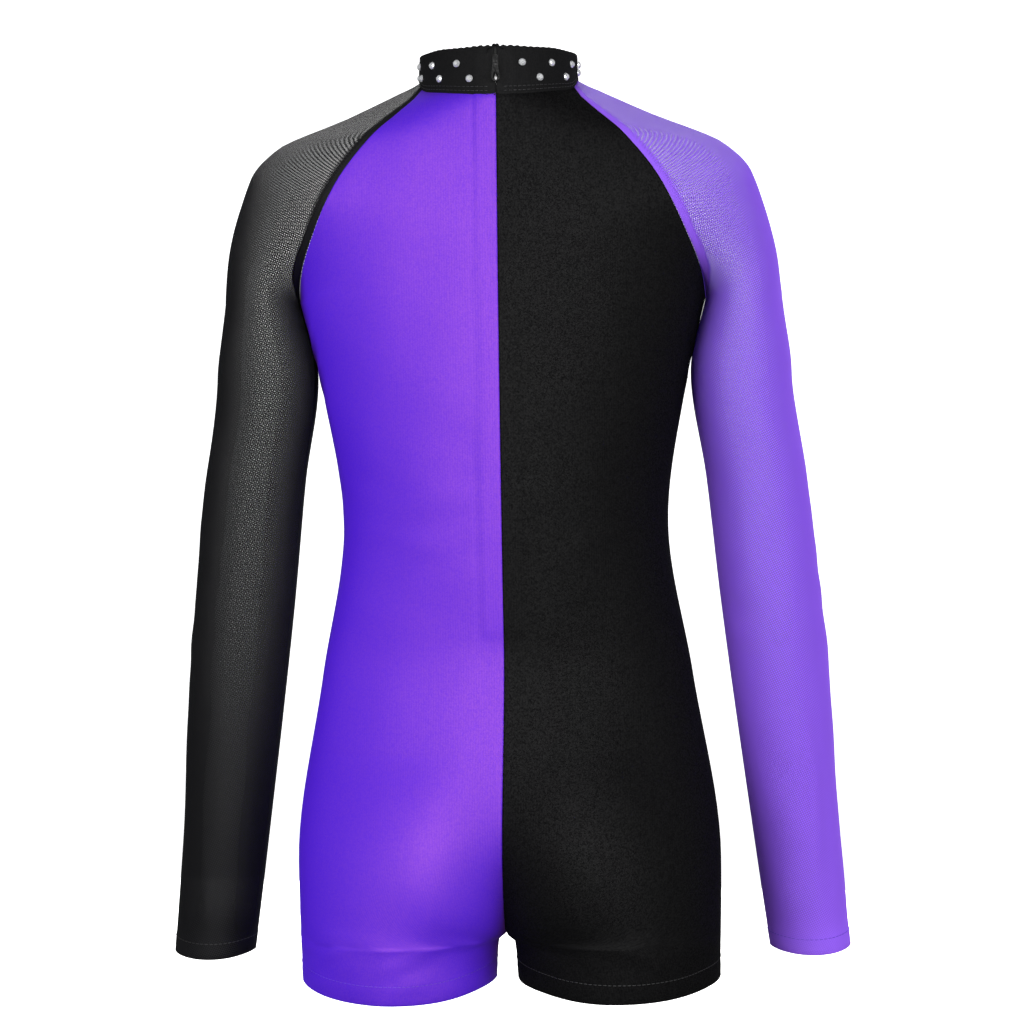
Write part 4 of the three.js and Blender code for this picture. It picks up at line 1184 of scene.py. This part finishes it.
# %% Slider, pull and stops: cast metal with softened edges
def cast_piece(name, node, body, material, soften, steps=3):
    """A copy of a model part with its sharp edges rounded, as a die casting has."""
    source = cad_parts[node]
    mesh = source.data.copy()
    mesh.name = name
    mesh.transform(source.matrix_world)
    mesh.materials.clear()
    mesh.materials.append(material)
    piece = bpy.data.objects.new(name, mesh)
    bpy.context.scene.collection.objects.link(piece)
    flat = piece.modifiers.new("merge_flats", "DECIMATE")
    flat.decimate_type = "DISSOLVE"
    flat.angle_limit = math.radians(1.0)
    bevel = piece.modifiers.new("soft_edges", "BEVEL")
    bevel.width = soften * MM
    bevel.segments = steps
    bevel.limit_method = "ANGLE"
    bevel.angle_limit = math.radians(35)
    bevel.harden_normals = False
    mesh.polygons.foreach_set("use_smooth", [True] * len(mesh.polygons))
    weighted = piece.modifiers.new("flat_shading", "WEIGHTED_NORMAL")
    weighted.keep_sharp = False
    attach(piece, body)
    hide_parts(node)


cast_piece("slider_casting", "zip_slider", "zip_slider", black_zinc, 0.16)
cast_piece("pull_plate", "zip_pull", "zip_pull", black_zinc, 0.2)
for node in ("zip_top_stop_left", "zip_top_stop_right", "zip_bottom_stop"):
    cast_piece(node.replace("zip_", "clamped_"), node, "garment", black_zinc, 0.3)

# The drop at the pull's end is a smooth swelling on both faces of the plate.
PULL_THICK, PULL_WIDTH = 1.0, 5.2
END_CORNERS = 8
pull_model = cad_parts["zip_pull"]
corners = [pull_model.matrix_world @ v.co for v in pull_model.data.vertices]
lowest = sorted(corners, key=lambda p: p.z)[:END_CORNERS]
highest = sorted(corners, key=lambda p: -p.z)[:END_CORNERS]
end_point = sum(lowest, Vector()) / len(lowest)
top_point = sum(highest, Vector()) / len(highest)
way = top_point - end_point
way.x = 0
way.normalize()
out = Vector((0, -way.z, way.y))
if out.y > 0:
    out = -out
middle = Vector((0, end_point.y, end_point.z)) + way * (PULL_WIDTH / 2) * MM
swell_points, swell_faces = [], []
RINGS, SPOKES = 12, 40
for face_way in (1, -1):
    start = len(swell_points)
    for i in range(RINGS + 1):
        share = i / RINGS
        for j in range(SPOKES):
            t = 2 * math.pi * j / SPOKES
            along = math.cos(t) * (2.05 + 2.6 * max(0, math.cos(t)) ** 2)
            across = math.sin(t) * 1.95 * (1 - 0.28 * max(0, math.cos(t)))
            high_mm = PULL_THICK / 2 - 0.12 + 0.5 * math.sqrt(max(0, 1 - share ** 2.4))
            swell_points.append(middle + (way * along * share + Vector((across * share, 0, 0))) * MM
                                + out * face_way * high_mm * MM)
    for i in range(RINGS):
        for j in range(SPOKES):
            k = (j + 1) % SPOKES
            quad = (start + i * SPOKES + j, start + i * SPOKES + k,
                    start + (i + 1) * SPOKES + k, start + (i + 1) * SPOKES + j)
            swell_faces.append(quad if face_way > 0 else quad[::-1])
swell_mesh = bpy.data.meshes.new("pull_drop")
swell_mesh.from_pydata([tuple(p) for p in swell_points], [], swell_faces)
swell_mesh.polygons.foreach_set("use_smooth", [True] * len(swell_mesh.polygons))
swell_mesh.materials.append(black_zinc)
pull_drop = bpy.data.objects.new("pull_drop", swell_mesh)
bpy.context.scene.collection.objects.link(pull_drop)
weld = pull_drop.modifiers.new("close_middle", "WELD")
weld.merge_threshold = 0.01 * MM
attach(pull_drop, "zip_pull")
print("pull runs from", [round(v, 4) for v in top_point], "to", [round(v, 4) for v in end_point])

# %% [markdown]
# ## Stones
# Flat-backed stones are glued round the collar in two staggered rows. Each has a flat eight-sided
# table, a ring of twenty-four facets round it and a ring of thirty-two below, then a thin girdle.

# %% Rhinestones
STONE_SEED = 100
STONE = {"across": 4.7, "table": 2.5, "high": 1.7, "seat": 0.3}
# Each row: stones in a full round, the first one's angle and how far down the collar they sit.
STONE_ROWS = {"upper": (15, -29, 0.34), "lower": (14, -19, 0.67)}
FACETS = 16
ZIP_GAP = math.radians(10)
STONE_SPIN = 0.7


def stone_mesh(name, seed):
    random = np.random.default_rng(seed)
    rings = [(STONE["table"] / 2, STONE["high"], 8, 0.5), (0.78 * STONE["across"] / 2, 1.12, FACETS, 0.0),
             (STONE["across"] / 2, 0.42, FACETS, 0.5), (STONE["across"] / 2, 0.0, FACETS, 0.5)]
    points, starts = [], []
    for radius, height, count, offset in rings:
        starts.append(len(points))
        for i in range(count):
            t = 2 * math.pi * (i + offset) / count
            points.append((radius * math.cos(t), radius * math.sin(t), height))
    faces = [tuple(range(8))]
    for i in range(8):
        a, b = starts[0] + i, starts[0] + (i + 1) % 8
        m = starts[1] + (2 * i + 1) % FACETS
        n0, n1 = starts[1] + (2 * i + 2) % FACETS, starts[1] + (2 * i + 3) % FACETS
        faces += [(a, m, n0), (a, n0, b), (b, n0, n1)]
    for i in range(FACETS):
        k = (i + 1) % FACETS
        faces.append((starts[1] + i, starts[2] + i, starts[1] + k))
        faces.append((starts[1] + k, starts[2] + i, starts[2] + k))
        faces.append((starts[2] + i, starts[3] + i, starts[3] + k, starts[2] + k))
    faces.append(tuple(starts[3] + i for i in reversed(range(FACETS))))
    mesh = bpy.data.meshes.new(name)
    mesh.from_pydata([tuple(c * MM for c in p) for p in points], [], faces)
    shade = mesh.attributes.new("facet", "FLOAT", "FACE")
    # Painted reflection: the table gets one bright shade, every other facet a random bright or dim one.
    values = [0.92] + [float(np.clip(random.normal(0.78, 0.25), 0.05, 1.0)) for _ in faces[1:]]
    shade.data.foreach_set("value", values)
    mesh.materials.append(cut_crystal)
    return mesh


def stone_place(turn, up):
    seat = collar_point(turn, up)
    across = collar_point(turn + 0.01, up) - collar_point(turn - 0.01, up)
    rising = collar_point(turn, up + 0.05) - collar_point(turn, up - 0.05)
    out = Vector(np.cross(across, rising)).normalized()
    return Vector(seat + np.array(out) * STONE["seat"]), out


stones = 0
for row, (count, first, below) in STONE_ROWS.items():
    number = 0
    for i in range(count):
        turn = math.radians(first + 360 / count * i)
        if abs(math.atan2(math.sin(turn), math.cos(turn))) <= ZIP_GAP:
            continue
        number += 1
        seat, out = stone_place(turn, 1 - below)
        name = f"stone_{row}_{number}"
        stone = bpy.data.objects.new(name, stone_mesh(name, STONE_SEED + stones))
        stone.location = seat * MM
        spin = Matrix.Rotation(STONE_SPIN * stones, 4, "Z")
        stone.rotation_euler = (out.to_track_quat("Z", "Y").to_matrix().to_4x4() @ spin).to_euler()
        bpy.context.scene.collection.objects.link(stone)
        bpy.context.view_layer.update()
        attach(stone, "garment")
        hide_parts(f"rhinestone_{row}_{number}")
        stones += 1
print("stones:", stones)
